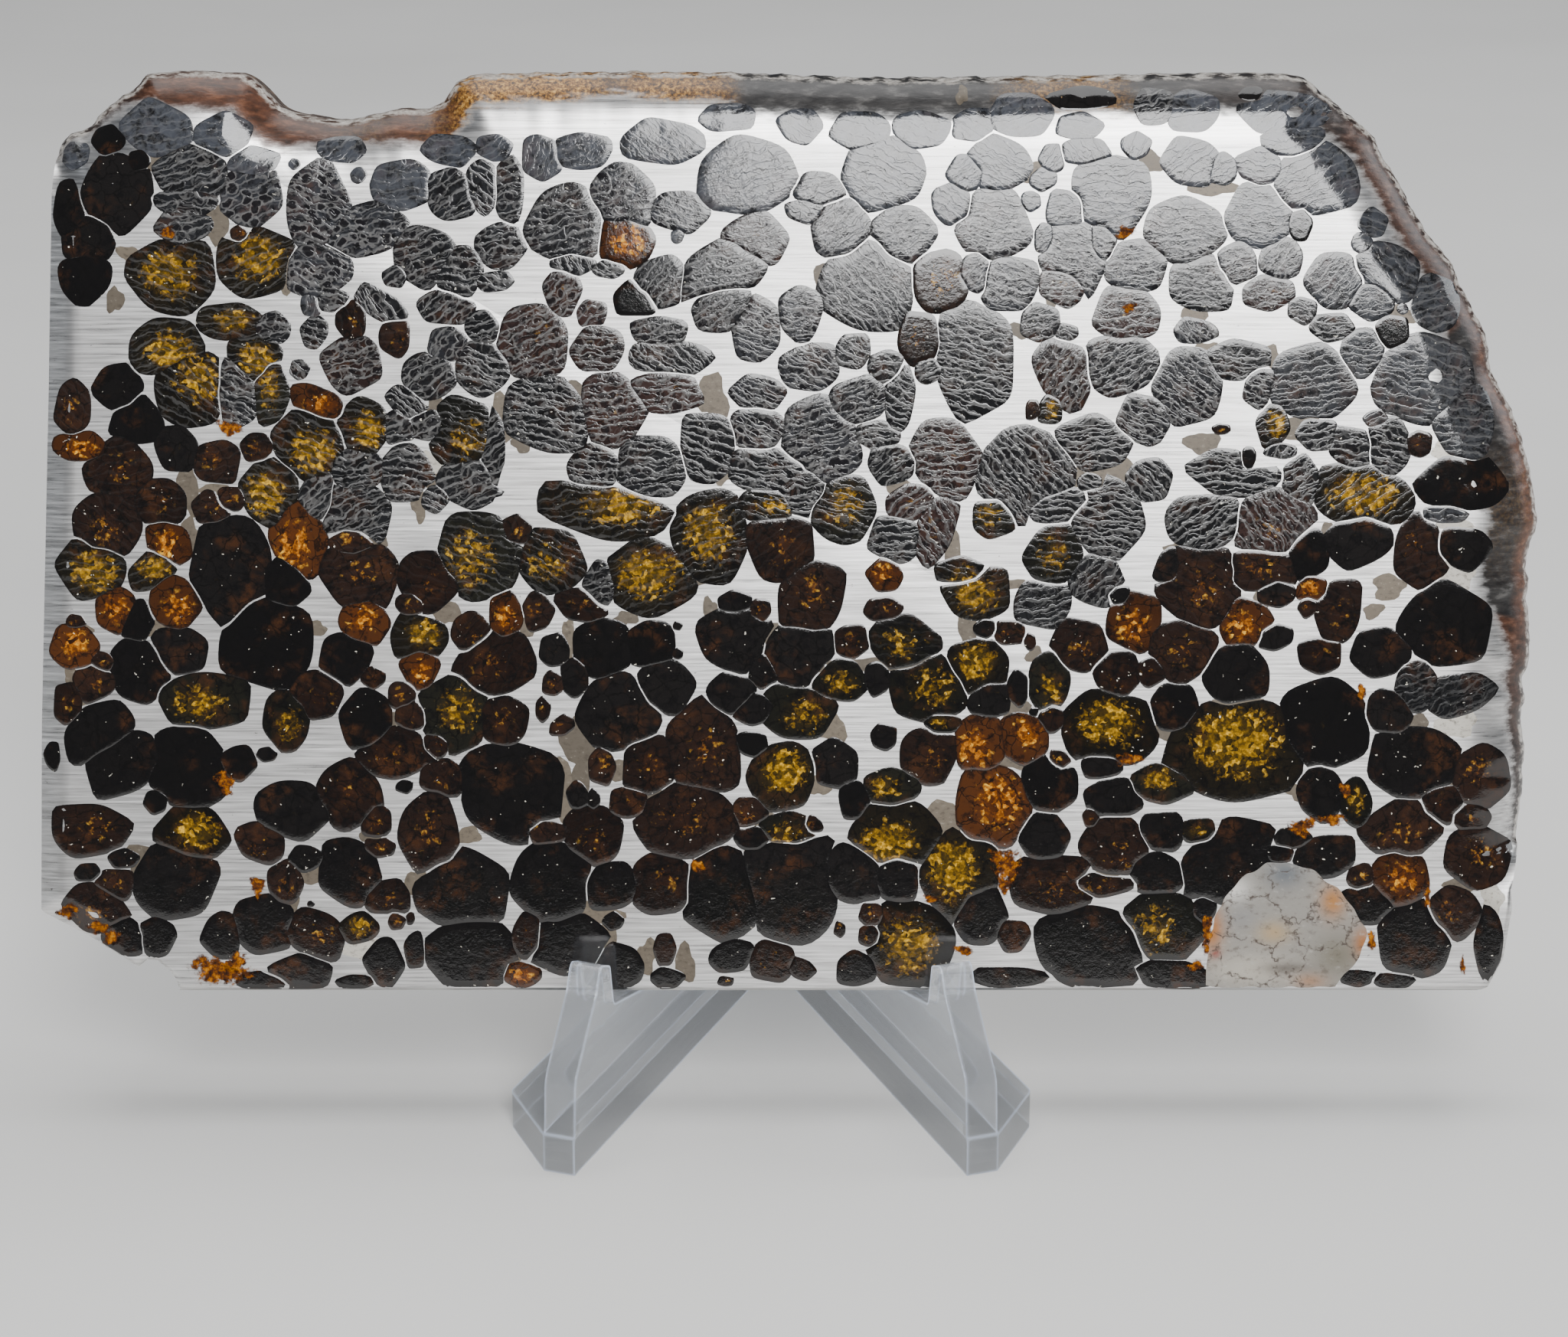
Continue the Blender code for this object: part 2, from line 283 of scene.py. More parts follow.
# %% Distance to an edge and depth of the front
ROLL_WIDTH, ROLL_DEPTH = 7.0, 4.5
BEVEL_WIDTH, BEVEL_DEPTH = 2.2, 0.5
EDGE_BREAK = 0.3
FAR = 12.0
AT_ONCE = 4000


def edge_distance(places, *wanted):
    """The shortest distance from each place to the outline's pieces of the wanted kinds, up to FAR."""
    flat = places.reshape(-1, 2)
    near = (outline > flat.min(axis=0) - FAR) & (outline < flat.max(axis=0) + FAR)
    chosen = np.isin(outline_kind, wanted) & near.all(axis=1)
    if not chosen.any():
        return np.full(places.shape[:-1], FAR)
    starts = outline[chosen]
    along = np.roll(outline, -1, axis=0)[chosen] - starts
    nearest = np.empty(len(flat))
    for first in range(0, len(flat), AT_ONCE):
        apart = flat[first:first + AT_ONCE, None] - starts
        share = np.clip((apart * along).sum(axis=2) / (along**2).sum(axis=1), 0.0, 1.0)
        off = np.linalg.norm(apart - share[..., None] * along, axis=2)
        nearest[first:first + AT_ONCE] = off.min(axis=1)
    return nearest.reshape(places.shape[:-1])


def front_depth(places):
    """How far the front lies behind its flat plane: 4.5 (1 - sqrt(1 - (1 - d/7)^2)) at a distance d
    from the natural skin, half a millimetre of bevel on the left cut, 0.3 on the other cuts."""
    inside = np.clip(1.0 - edge_distance(places, ROLLED) / ROLL_WIDTH, 0.0, 1.0)
    roll = ROLL_DEPTH * (1.0 - np.sqrt(1.0 - inside**2))
    bevel = BEVEL_DEPTH * np.clip(1.0 - edge_distance(places, BEVELLED) / BEVEL_WIDTH, 0.0, 1.0)
    broken = EDGE_BREAK * np.clip(1.0 - edge_distance(places, SAWN, BROKEN) / EDGE_BREAK, 0.0, 1.0)
    return np.maximum(np.maximum(roll, bevel), broken)


print("depth 1, 3 and 6 mm from the top edge:",
      front_depth(np.array([[0.0, 90.0], [0.0, 88.0], [0.0, 85.0]])).round(2))

# %% [markdown]
# ## One way to make every mesh
#
# Every piece below is worked out as arrays: points, faces, and values that its finish reads. This
# helper puts them into Blender, with no loop over the points.

# %% Arrays into a mesh
BODY = "root"
SHARP_FROM = math.radians(38.0)


def make_piece(name, points, quads, material, numbers, colours, flats):
    """A mesh object at the origin from arrays of points (metres), quads and many-sided flats, with
    one attribute for each entry of numbers (single values) and colours (three values)."""
    mesh = bpy.data.meshes.new(name)
    mesh.from_pydata(points.tolist(), [], quads.tolist() + [face.tolist() for face in flats])
    for kind, field, found in (("FLOAT", "value", numbers), ("FLOAT_VECTOR", "vector", colours)):
        for key, values in found.items():
            layer = mesh.attributes.new(key, kind, "POINT")
            layer.data.foreach_set(field, np.ascontiguousarray(values, np.float32).ravel())
    mesh.materials.append(material)
    mesh.update()
    piece = bpy.data.objects.new(name, mesh)
    bpy.context.scene.collection.objects.link(piece)
    mesh.shade_smooth()
    mesh.set_sharp_from_angle(angle=SHARP_FROM)
    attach(piece, BODY)
    return piece


def spoke_rays(spokes):
    """Even angles all the way round, and the unit vector that points at each."""
    angles = np.arange(spokes) * 2 * math.pi / spokes
    return angles, np.stack([np.cos(angles), np.sin(angles)], axis=-1)


def ring_quads(rings, spokes):
    """Quads between neighbouring rings of a grid of rings x spokes, closed round the spokes."""
    ring = np.arange(rings - 1)[:, None] * spokes
    spoke = np.arange(spokes)[None]
    after = (spoke + 1) % spokes
    corners = (ring + spoke, ring + spokes + spoke, ring + spokes + after, ring + after)
    return np.stack(corners, axis=-1).reshape(-1, 4)


print("mesh helper ready")

# %% [markdown]
# ## Nickel-iron and its crust
#
# The metal was ground along the slice, so fine level scratches run across it and spread the light
# up and down. There are a few dark specks. Near the natural skin a crust follows the outline:
# rust-brown on the left of the top, golden and grainy further on, then dark, and orange again down
# the right side, with a pale line of coating at the very edge. The mesh says how far each point is
# from the skin, how wide the crust is there and how rusty or golden. The cut sides and the back show
# the same stone, so they get a pattern of dark cells in metal.

# %% The metal's finish


def brushed_metal(name):
    """Near-white metal with level scratches, under a crust where the mesh says how near the skin is."""
    material, shader, start = new_material(name)
    place = attribute(start, "slab", 1)
    scratches = place.stretched(0.10, 4.2, 1.0).noise(1.0, 4.0, 0.62)
    coarse = place.stretched(0.05, 1.1, 1.0).noise(1.0, 3.0, 0.6)
    broad = place.noise(0.05, 2.0)
    specks = place.stretched(0.8, 1.3, 1.0).noise(1.6, 3.0, 0.7).between(0.69, 0.74)
    steel = scratches.ramp((0.30, (0.36, 0.355, 0.35)), (0.48, (0.62, 0.61, 0.60)),
                           (0.70, (0.82, 0.81, 0.80)))
    steel = steel.mixed((0.36, 0.35, 0.34), coarse.between(0.52, 0.72) * 0.45)
    steel = steel.mixed((0.50, 0.485, 0.47), broad.between(0.45, 0.7) * 0.3)
    steel = steel.mixed((0.10, 0.09, 0.08), specks * 0.8)
    skin = attribute(start, "skin", 2)
    side = attribute(start, "side", 2)
    outer = attribute(start, "crust", 2)
    width, rusty, golden = attribute(start, "band", 1).parts()
    streaks = place.stretched(0.45, 1.3, 1.0).noise(1.1, 4.0, 0.62)
    fine = place.noise(2.6, 4.0, 0.7)
    dark = streaks.ramp((0.36, (0.008, 0.007, 0.007)), (0.55, (0.026, 0.024, 0.023)),
                        (0.75, (0.10, 0.095, 0.09)))
    rust = streaks.ramp((0.32, (0.020, 0.008, 0.004)), (0.52, (0.070, 0.025, 0.011)),
                        (0.72, (0.16, 0.065, 0.032)))
    orange = fine.ramp((0.40, (0.030, 0.014, 0.005)), (0.52, (0.26, 0.115, 0.018)),
                       (0.66, (0.62, 0.36, 0.10)))
    wander = (streaks - 0.5) * 2.4
    in_crust = (skin + wander - width).between(1.1, -0.5)
    narrow = (width - 4.0).between(0.0, -0.3)
    rusty = rusty * (skin + wander * 0.3).between(2.3, 1.0).maths("MAXIMUM", narrow)
    crust = dark.mixed(rust, rusty).mixed(orange, golden)
    pale = fine.ramp((0.35, (0.26, 0.23, 0.20)), (0.65, (0.66, 0.63, 0.58)))
    in_pale = (skin + (fine - 0.5) * 0.8).between(0.75, 0.40) * streaks.between(0.40, 0.58) * (1 - side)
    colour = steel.mixed(crust, in_crust).mixed(pale, in_pale * 0.85)
    pulled = place.shifted(place.noise(0.35, 3.0, 0.6, output=1).shifted((-0.5, -0.5, -0.5)).scaled(3.0))
    edge = pulled.cells(0.19, "DISTANCE_TO_EDGE")
    stone = place.noise(0.8, 4.0, 0.65).ramp((0.35, (0.008, 0.006, 0.005)), (0.6, (0.030, 0.019, 0.012)),
                                             (0.78, (0.13, 0.07, 0.025)))
    in_stone = (edge + broad * 0.12).between(0.085, 0.115) * side
    colour = colour.mixed(stone, in_stone)
    rind = streaks.ramp((0.32, (0.012, 0.010, 0.009)), (0.5, (0.050, 0.030, 0.020)),
                        (0.72, (0.20, 0.115, 0.060)))
    colour = colour.mixed(rind, outer * 0.94)
    metal = (1 - in_crust) * (1 - in_stone) * (1 - in_pale) * (1 - outer)
    rough = (scratches * 0.18 + 0.21).maths("MAXIMUM", (outer * 0.5).maths("MAXIMUM", in_crust * 0.30))
    lumps = (streaks + fine * 0.4).bump(outer * 0.9 + in_crust * 0.12, 0.0003,
                                        Normal=scratches.bump(0.3, 0.00002))
    feed(shader, Metallic=metal, Base_Color=colour, Roughness=rough, Normal=lumps)
    return material


nickel_iron = brushed_metal("nickel_iron")
print("metal ready")

# %% [markdown]
# ## The slice itself
#
# One closed skin: rings of points follow the outline from the flat front over the rolled margin,
# down the rim and round to the back. The flat middle of the front and of the back needs only one
# face each, because the crystals lie on top of it as pieces of their own. The crust's width, rust
# and gold are read from two short lists, one along the top and one up the right side.

# %% The slice as rings round its outline
FRONT_RINGS = (9.0, 7.2, 6.4, 5.5, 4.6, 3.8, 3.0, 2.3, 1.7, 1.2, 0.8, 0.5, 0.3, 0.15, 0.05)
SPINE_HALF, SPINE_HEIGHT = 38.0, 46.0
RIGHT_FROM = 56.0
BACK_BREAK, BACK_MARGIN = 0.5, 3.0
# u along the top, then the crust's width in millimetres, its rust and its gold there
TOP_CRUST = (
    (-72.0, 0.4, 0.2, 0.0), (-65.0, 0.9, 0.5, 0.0), (-62.0, 3.4, 0.9, 0.0), (-53.0, 3.7, 1.0, 0.0),
    (-50.0, 3.2, 1.0, 0.0), (-45.0, 2.2, 0.7, 0.0), (-41.0, 2.6, 0.6, 0.1), (-37.0, 3.2, 1.0, 0.0),
    (-33.0, 3.8, 0.9, 0.2), (-31.0, 2.6, 0.4, 0.9), (-20.0, 2.4, 0.4, 0.9), (-17.0, 1.8, 0.4, 0.3),
    (-13.0, 2.4, 0.4, 0.8), (-7.0, 2.4, 0.4, 0.6), (-4.0, 3.6, 0.0, 0.0), (20.0, 3.6, 0.0, 0.0),
    (25.0, 3.2, 0.1, 0.4), (31.0, 3.2, 0.1, 0.5), (35.0, 3.6, 0.0, 0.0), (57.0, 3.0, 0.2, 0.0),
)
# v up the right side, then the same three
RIGHT_CRUST = (
    (0.0, 0.0, 0.0, 0.0), (10.0, 0.1, 0.1, 0.0), (22.0, 1.4, 0.2, 0.0), (33.0, 2.4, 0.6, 0.0),
    (40.0, 4.8, 1.0, 0.0), (50.0, 5.4, 1.0, 0.08), (57.0, 5.2, 0.9, 0.0), (66.0, 4.4, 0.8, 0.0),
    (72.0, 3.0, 0.5, 0.0), (84.0, 2.8, 0.6, 0.0), (92.0, 3.0, 0.2, 0.0),
)


def crust_at(points):
    """Width, rust and gold beside each outline point, straight between the entries of the lists."""
    top, right = np.array(TOP_CRUST), np.array(RIGHT_CRUST)
    on_right = points[:, 0] > RIGHT_FROM
    found = [
        np.where(on_right, np.interp(points[:, 1], right[:, 0], right[:, column]),
                 np.interp(points[:, 0], top[:, 0], top[:, column]))
        for column in (1, 2, 3)
    ]
    return np.stack(found, axis=-1)


def build_slice(material):
    """Each ring is the outline moved inwards towards a line along the slice's middle; its depth is
    front_depth on the front, then a swelling side wall, then the back plane."""
    sideways = np.clip(outline[:, 0], -SPINE_HALF, SPINE_HALF)
    middle = np.stack([sideways, np.full(len(outline), SPINE_HEIGHT)], axis=1)
    inward = (middle - outline) / np.linalg.norm(middle - outline, axis=1)[:, None]
    natural = (outline_kind == ROLLED).astype(float)
    rough = np.isin(outline_kind, (ROLLED, BROKEN)).astype(float)
    for _ in range(6):
        natural = (np.roll(natural, 1) + natural + np.roll(natural, -1)) / 3
    walked = np.arange(len(outline)) * STEP
    lumps = 0.10 * np.sin(walked * 0.9) + 0.08 * np.sin(walked * 2.3 + 1.0)
    rings, depths, sides = [], [], []
    for distance in FRONT_RINGS + (0.0,):
        places = outline + inward * distance
        rings.append(places)
        depths.append(front_depth(places))
        sides.append(np.zeros(len(outline)))
    rim = depths[-1]
    for share in (0.15, 0.35, 0.6, 0.85, 1.0):
        swell = natural * lumps * math.sin(math.pi * share)
        rings.append(outline + inward * np.clip(swell, 0.0, None)[:, None])
        depths.append(rim + (THICKNESS - BACK_BREAK - rim) * share)
        sides.append(np.ones(len(outline)))
    for distance, side in ((BACK_BREAK, 1.0), (BACK_MARGIN, 0.0)):
        rings.append(outline + inward * distance)
        depths.append(np.full(len(outline), THICKNESS))
        sides.append(np.full(len(outline), side))
    places, depth, side = np.array(rings), np.array(depths), np.array(sides)
    count = len(outline)
    last = (len(rings) - 1) * count
    flats = [np.arange(count), np.arange(last, last + count)[::-1]]
    points = lean_back(places[..., 0], places[..., 1], depth).reshape(-1, 3)
    slab = np.stack([places[..., 0], places[..., 1], depth], axis=-1)
    band = np.broadcast_to(crust_at(outline), (len(rings), count, 3))
    numbers = {"skin": edge_distance(places, ROLLED), "side": side * (1 - rough), "crust": side * rough}
    piece = make_piece("polished_slice", points, ring_quads(len(rings), count), material,
                       numbers, {"slab": slab, "band": band}, flats)
    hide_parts("slice")
    print("slice:", len(points), "points")
    return piece


build_slice(nickel_iron)

# %% [markdown]
# ## Where the crystals are
#
# Olivine crystals fill more than half of the slice. Each is read off the photograph as a rounded
# shape: its middle (u, v), half its width and half its height in millimetres and, where it lies
# askew, its turn in degrees. They are grouped by look. Low in the slice they are nearly black,
# some are brown or amber, some hold golden flakes, and higher up many show a lace of fine pale
# lines, partly cracks and partly a painted reflection, that fades into a painted grey sheen near
# the top.

# %% Crystals, group by group
CRYSTALS = {
    "black": (
        (-66.5, 85.1, 1.5, 1.3), (-65.5, 80, 3.2, 3.4), (-63.4, 83.1, 1, .9), (-68.4, 75.4, 2.4, 2.2),
        (-69, 71.8, 2.3, 2.4), (-70.4, 78.3, 1.3, 2.6), (-65.8, 60.9, 2.2, 2), (-64, 57.5, 2.5, 2),
        (-60.3, 54.9, 1.9, 2.2), (-55.2, 42.9, 3.6, 4.9), (-49.6, 41.4, 1.9, 2.3),
        (-51.5, 35.2, 4.3, 3.7, 10), (-43.8, 33.9, 2.2, 2.4), (-64.2, 32.6, 2.9, 2.9, -35),
        (-60.4, 34.5, 2.5, 2.2), (-64.5, 37.6, 1.6, 1.9), (-68.6, 26.4, 3.4, 2.4, 28),
        (-66.2, 23.2, 3.6, 2.9, 28), (-59.7, 22.8, 3.7, 3.9), (-54.7, 23.3, 1.65, 1.6),
        (-51.8, 24.1, .9, .65), (-41.8, 27.3, 2.3, 2.9), (-49.3, 18.6, 3.15, 2.6), (-63, 19.3, 1.1, 1.1),
        (-61, 11.2, 3.7, 3.6, 30), (-66.4, 13.5, 1.4, .9), (-70, 12.1, 1.2, .8), (-63.3, 5.5, 1.7, 1.8),
        (-66.4, 5.6, 2.2, 1.7, -30), (-56.6, 5.6, 1.8, 2.1), (-52.3, 6.8, 2.8, 2.6), (-48, 13.5, 1.5, 1.2),
        (-43.7, 12.2, 2.6, 3.4, 25), (-40.3, 2.9, 1.7, 2.3), (-37.2, 4.1, 1, 1.7), (-48.7, 1.9, 3, 1.6),
        (-52.4, 1, 2.5, .9), (-43.2, .9, 1.7, .7), (-47.6, 8.9, .35, .3), (-27.4, 20.3, 4.7, 4.6, -20),
        (-38, 20.9, .8, .6), (-20.7, 19.9, 1, 1.3), (-19.1, 19.6, .6, .9), (-16.6, 28.2, 3.9, 3.5),
        (-12, 30.9, 2.7, 2.7), (-5.3, 30.1, 2.4, 1.8), (-2.9, 28.7, 2, 1.4), (-3.2, 25.2, 1.4, 1.2),
        (-2.1, 32.4, 1.2, 1.5), (-20.9, 32, 1.15, 1.8), (-22.9, 34.7, 1.4, 1.5), (-18.1, 34.9, 2.65, 2.75),
        (-13.3, 35.1, 2.3, 2.2), (-4.9, 35.8, 3.3, 3), (-4.9, 39.4, 1.6, 1.15), (-3.2, 15.7, 1.7, 1.15),
        (-32.3, 10.4, 4.1, 3.9), (-23.2, 11, 3.6, 4.1), (-17.5, 10.7, 2.4, 2.25), (-6.4, 10.1, 3.5, 4.4),
        (.8, 11, 4.4, 5.4), (7, 12, 3, 2.9), (-17.2, 7.1, .95, .8), (-21.6, 4.9, 3.55, 2.8),
        (-31.4, 3.9, 4.15, 3.4), (-16.8, 2.4, 2.2, 2.2), (-11.7, 1.3, 1.45, 1), (-5.3, 3.6, 2, 1.5, 15),
        (-10.6, 37.1, .45, .4), (-10.6, 34.3, .5, .5), (5.2, 23.1, 2.1, 2.4, 20), (10, 25.9, 1.1, 1.25),
        (6.9, 19.5, 1.3, 1.9), (1.5, 34.3, 3.3, 2.8), (9.2, 31.8, 1.15, 1.6), (20, 36.8, .95, .9),
        (20.6, 29.8, 2, 1.8), (23.4, 30.8, 1, 1.6), (25, 28.4, .5, .4), (26.6, 21, 2.55, 2.75),
        (26.2, 15.7, 2.2, 2.4), (11.3, 11.6, 2.1, 2.6), (19.6, 8, 2.5, 2.8), (7.2, 2.2, 1.8, 1.5),
        (22.7, 1.4, 3.3, 1), (31.1, 4.6, 5.6, 3.6), (39, 1.7, 4.2, 1.4, -8), (33, 19.6, 2.5, 2),
        (31.7, 22.9, 1.9, 1.2), (39, 29, 2.1, 2.3), (37.9, 16.3, 2, 1.9), (37.3, 11.9, 2.6, 2),
        (33.4, 40.2, 1.1, 1), (45.3, 32.1, 2.9, 2.75, -35), (53.8, 27.1, 4.3, 4.1),
        (53.8, 20.2, 2.15, 2.55), (63.2, 23.2, 4.1, 3.45), (60.6, 28.4, 2.1, 2.15), (66, 37.3, 4.1, 3.5),
        (57, 45.7, 2.9, 2.3), (51.9, 44.3, 2, 2.4), (59.4, 34.4, 2.6, 2.3), (44.6, 13, 5.2, 3, 28),
        (50.8, 15.6, 1.9, 1.1), (49.8, 14.1, 1.4, .9), (54.2, 13.8, 3.1, 1.95), (58.6, 8.9, 2.6, 1.9),
        (63.7, 5.2, 3.25, 3.7), (42.2, 8.3, 1.1, 1.3), (57.8, 1.3, 1.6, .8), (61.5, 1.1, 2, .7),
        (60.1, 66.4, 1.5, 1.4), (67.3, 51.3, 4, 2.5), (67.3, 45, 2.6, 1.8), (38.3, 43, 1.2, 1.7),
        (48.9, 36, 1.6, 1.25), (49.1, 40.4, 1.7, 1.3), (71, 4.8, 1.3, 3.3), (50.7, 76.9, 1.1, 1.4),
        (-14.5, 69.6, 2, 1.6), (29.3, 89.2, 2.9, 1), (46, 89.6, 1.1, .7), (-73.3, 23.9, .7, 1.3),
        (46, 53.3, .9, 1.4),
    ),
    "brown": (
        (-53.6, 75.9, 1, .9), (-42.7, 67.6, 1.3, 1.9), (-38.4, 65.8, 1.4, 1.7), (-70.3, 58.9, 1.6, 2.4),
        (-65.9, 52.8, 3, 2.7), (-56.3, 53.5, 2.3, 1.9, 15), (-52.3, 54.9, 1.4, 1.4),
        (-61.9, 49.5, 2.3, 2.1), (-55, 49.7, 1.4, 1.1), (-67.2, 47.2, 3.1, 3.3),
        (-42.2, 42.3, 3.5, 3.2, -15), (-43, 45.5, 2.1, 1.6), (-70.6, 37.5, .9, .6), (-67.9, 33.5, 1, .9),
        (-68.9, 31.3, 1.8, 1.6), (-41, 31.9, 1.1, .9), (-71.6, 29.3, 1.3, 1.9), (-46.8, 30.2, 2.3, 2.15),
        (-38.2, 30.1, 1.3, 1.3), (-37.3, 28, 1.35, 1.3), (-38.9, 24.2, 3.3, 2.3), (-43.5, 20, 2.9, 3.1),
        (-40.8, 17.1, 1.3, 1.7, -25), (-40.6, 14.7, 1.5, 1), (-35.5, 16.1, 2.75, 3.85),
        (-52.5, 15.1, 2.3, 1.75, -28), (-69.7, 16.4, 3.7, 2.35), (-67.2, 11, 1.8, 1.4),
        (-69, 8.3, 3.2, 2.2, -25), (-50.2, 11, 1.6, 2.1), (-39.9, 9.6, 2.2, 1.6), (-39, 7.1, .8, .8),
        (-37.6, 7.4, .4, .6), (-47.1, 5.7, 2.7, 2.3, -15), (-26.6, 46.6, 1.3, 1.4),
        (-35.5, 41.5, 2.7, 2.7), (-37.1, 39.3, 1.4, 1.1), (-31.2, 36.4, 1.8, 1.7), (-24.6, 38.6, 1.4, 1.8),
        (-20.2, 39.1, 2.3, 1.5, -12), (-29, 33.2, 3.5, 2.9, 20), (-23.1, 31.3, 1, 1.1),
        (-27.9, 27.5, 2.25, 2.2, -30), (-24.1, 28.7, .65, 1.15), (-22.2, 27, 1.2, .8, 35),
        (-8.2, 24.7, 3.2, 4.4), (-18.2, 22.9, 1.2, 1.7), (-13.6, 23, 2.4, 2.9), (-15.6, 19.2, 1.75, 1.45),
        (-34.2, 21.7, 1.95, 1.7), (-34.8, 25, 1.2, 1.2), (-19.1, 15.9, 2.75, 2.75),
        (-23.8, 16.2, 1.9, 1.3), (-9.7, 17.4, 4.6, 3.45), (-3.4, 18.2, 1.55, 1.45),
        (-12.4, 10.9, 2.9, 2.9), (-25.9, 5.6, 1.4, 2.1), (-12, 4.2, 1, 1.6), (-1.2, 3.1, 2.2, 1.8),
        (-5.9, 1, .7, .5), (-2.4, 38.6, 1, 1.1), (-.2, 45.2, 2.9, 3.4), (2.6, 39.7, 3, 3.6, -18),
        (6.8, 35.6, 1.55, 1.6), (9.9, 38.8, 1.85, 1.1), (22.5, 36.4, 1.4, 1.2), (24.5, 35.5, .55, .8),
        (29.3, 35.1, 2.6, 2.2), (33.3, 32.3, 2.1, 2), (36.6, 32.4, 1.3, 1.3), (14.6, 24.1, 2.55, 2.6),
        (26.7, 27.8, 1.15, 1.3), (27.5, 23.6, 1.1, .9, -35), (30.8, 17.7, .75, .9), (33.2, 14.6, 2.8, 3.1),
        (31.8, 11, 3.5, 1.2), (27, 10.9, 4.2, 2.9), (23.1, 5.6, 1.5, 1.5), (8.8, 7.8, 1.15, 1.1),
        (8.7, 5.6, 1.05, 1.2), (1.8, 2.2, 1.3, 1, -15), (2.9, 16.9, .9, .8), (5.6, 6.3, .5, .8),
        (52.1, 39, .8, 1), (55.2, 38.6, 2.1, 2.9, -12), (53.5, 34.2, 2, 1.6), (39.6, 34.8, 3.2, 2.7),
        (41.6, 41.3, 3.8, 3.9), (47.6, 42.9, 3.9, 2.1), (65.8, 19, 1.95, 1.9), (62.1, 16.7, 3.8, 2.6, 10),
        (69.9, 21.7, 2.6, 2.9), (69, 17.7, 1.9, 1.3), (69.7, 13.7, 3.2, 2.8), (58, 11.6, 1.2, 1.3),
        (67.3, 8, 2.45, 2.3), (62.9, 55.3, 1.1, 1.2), (63.1, 44.5, 2.3, 3.3), (15.4, 71.1, 2.6, 2.8),
        (13.3, 65.7, 1.9, 2.4), (43.3, 56.7, .8, .5), (24.6, 58.6, .7, .9), (-56.9, 48.9, 1.7, 1.5),
    ),
    "amber": (
        (-69.6, 55, 2.5, 1.3), (-61.2, 45.3, 1.8, 2.3, 30), (-60.8, 39.4, 2.3, 2.4),
        (-70.8, 34.95, 2, 2.1), (-46.2, 59.4, 2.4, 1.4, -28), (-15.6, 75.3, 2.7, 2.6, -45),
        (-36.3, 32.9, 1.7, 2), (-27.7, 38.2, 1.5, 2.1), (-48.2, 45.9, 2.5, 3.5),
        (-41.8, 37.4, 2.3, 2, -20), (19.6, 25.1, 2.5, 2.9), (24, 25.8, 2.4, 2.35), (10, 42.2, 1.6, 1.5),
        (46.2, 37.3, 2.5, 2.15), (52.5, 40.8, 1.4, 1.1), (61.8, 11.5, 2.75, 2.6), (20.9, 18.8, 3.5, 3.9),
        (-26.5, 1.7, 1.7, 1.2), (34.9, 37.6, 2.55, 2.75), (-66.4, 38.6, 1.9, 2),
    ),
    "gold": (
        (-54.8, 67.4, 2.8, 1.6), (-61, 65, 3.4, 2.5), (-58.6, 61, 3.4, 3.4), (-47, 55.2, 3.3, 3.1),
        (-41.7, 56.9, 2.3, 2.5), (-62.8, 42.7, 2.5, 1.6, 40), (-68.8, 43, 3.1, 2.9),
        (-7.6, 45.9, 3.4, 4.2), (-13.5, 41.9, 4.4, 3.3), (-17.6, 48.5, 5.8, 2.4, -8),
        (-36.4, 35.9, 2.5, 2), (48.4, 57.1, 1.5, 2), (57.4, 50.1, 4.9, 2.75, -12),
        (-59.3, 16, 3.3, 2.7, -15), (-42.8, 6.4, 1.7, 1.4), (-.2, 22, 3.2, 3), (11.2, 15.6, 3.9, 3.3),
        (12.7, 4.9, 4.1, 3.9), (17.7, 11.8, 3.5, 4.2), (19.3, 33, 2.7, 2.7), (32.6, 26.9, 4.35, 3.2, -10),
        (45.2, 24.4, 6.1, 4.8), (19.2, 40.5, 3, 2.4), (26.4, 58.7, 1.1, 1.4), (-52.4, 63.5, 2.5, 2.4),
        (-60.3, 71.9, 3.8, 3.4), (-52.2, 73.4, 3.5, 3), (-51.1, 50.4, 2.6, 2.9),
    ),
    "olive": (
        (-31.7, 56.4, 3.3, 3.2), (-30.3, 44.2, 3.7, 3.9), (-23.1, 43.5, 3.1, 3, -20),
        (-57.9, 29.5, 4.1, 2.65), (-49.8, 27.6, 2.15, 2.7), (-32.9, 28.2, 3, 3.4), (1.3, 28.4, 3.4, 2.5),
        (14.5, 30.6, 3.75, 2.9), (12, 35.4, 3.1, 2.4, -25), (10.9, 20.7, 2.5, 1.75),
        (15.8, 27.2, 1.6, 1.1), (5.4, 31.6, 2.6, 1.9), (26.4, 31.4, 2, 2.6), (37.6, 21.2, 2.9, 1.8),
        (38.1, 6.6, 3.4, 3.6), (41.6, 16.3, 1.7, 1.15), (57.3, 19.2, 1.4, 2.4, 10), (5.8, 49, 2.9, 3.1),
        (-1.5, 49.2, 3, 1.5), (26.7, 44.1, 2.4, 2.9, -15), (20.8, 47.9, 2, 1.8), (17.6, 42.4, 2.5, 1.5),
        (.6, 16.3, 2.6, 1.9), (-50.9, 60.8, 1.6, 3.2),
    ),
    "lace": (
        (-58.2, 82, 3.3, 2.4), (-58.7, 79.2, 2.9, 1.4), (-59.2, 76.7, 2.5, 1.6), (-50.5, 66.7, 1.5, 1.5),
        (-46.4, 66.3, 1.2, 1.4), (-39.7, 69, 2.3, 1.3, -30), (-38.3, 71.8, 1.1, 1), (-47.9, 62.6, .9, .9),
        (-44.6, 69.4, 1.6, 1), (-32.7, 79.8, 2.1, 2.3), (-29.5, 80.5, 1.6, 2.4), (-27.1, 80.3, 1.5, 2.8),
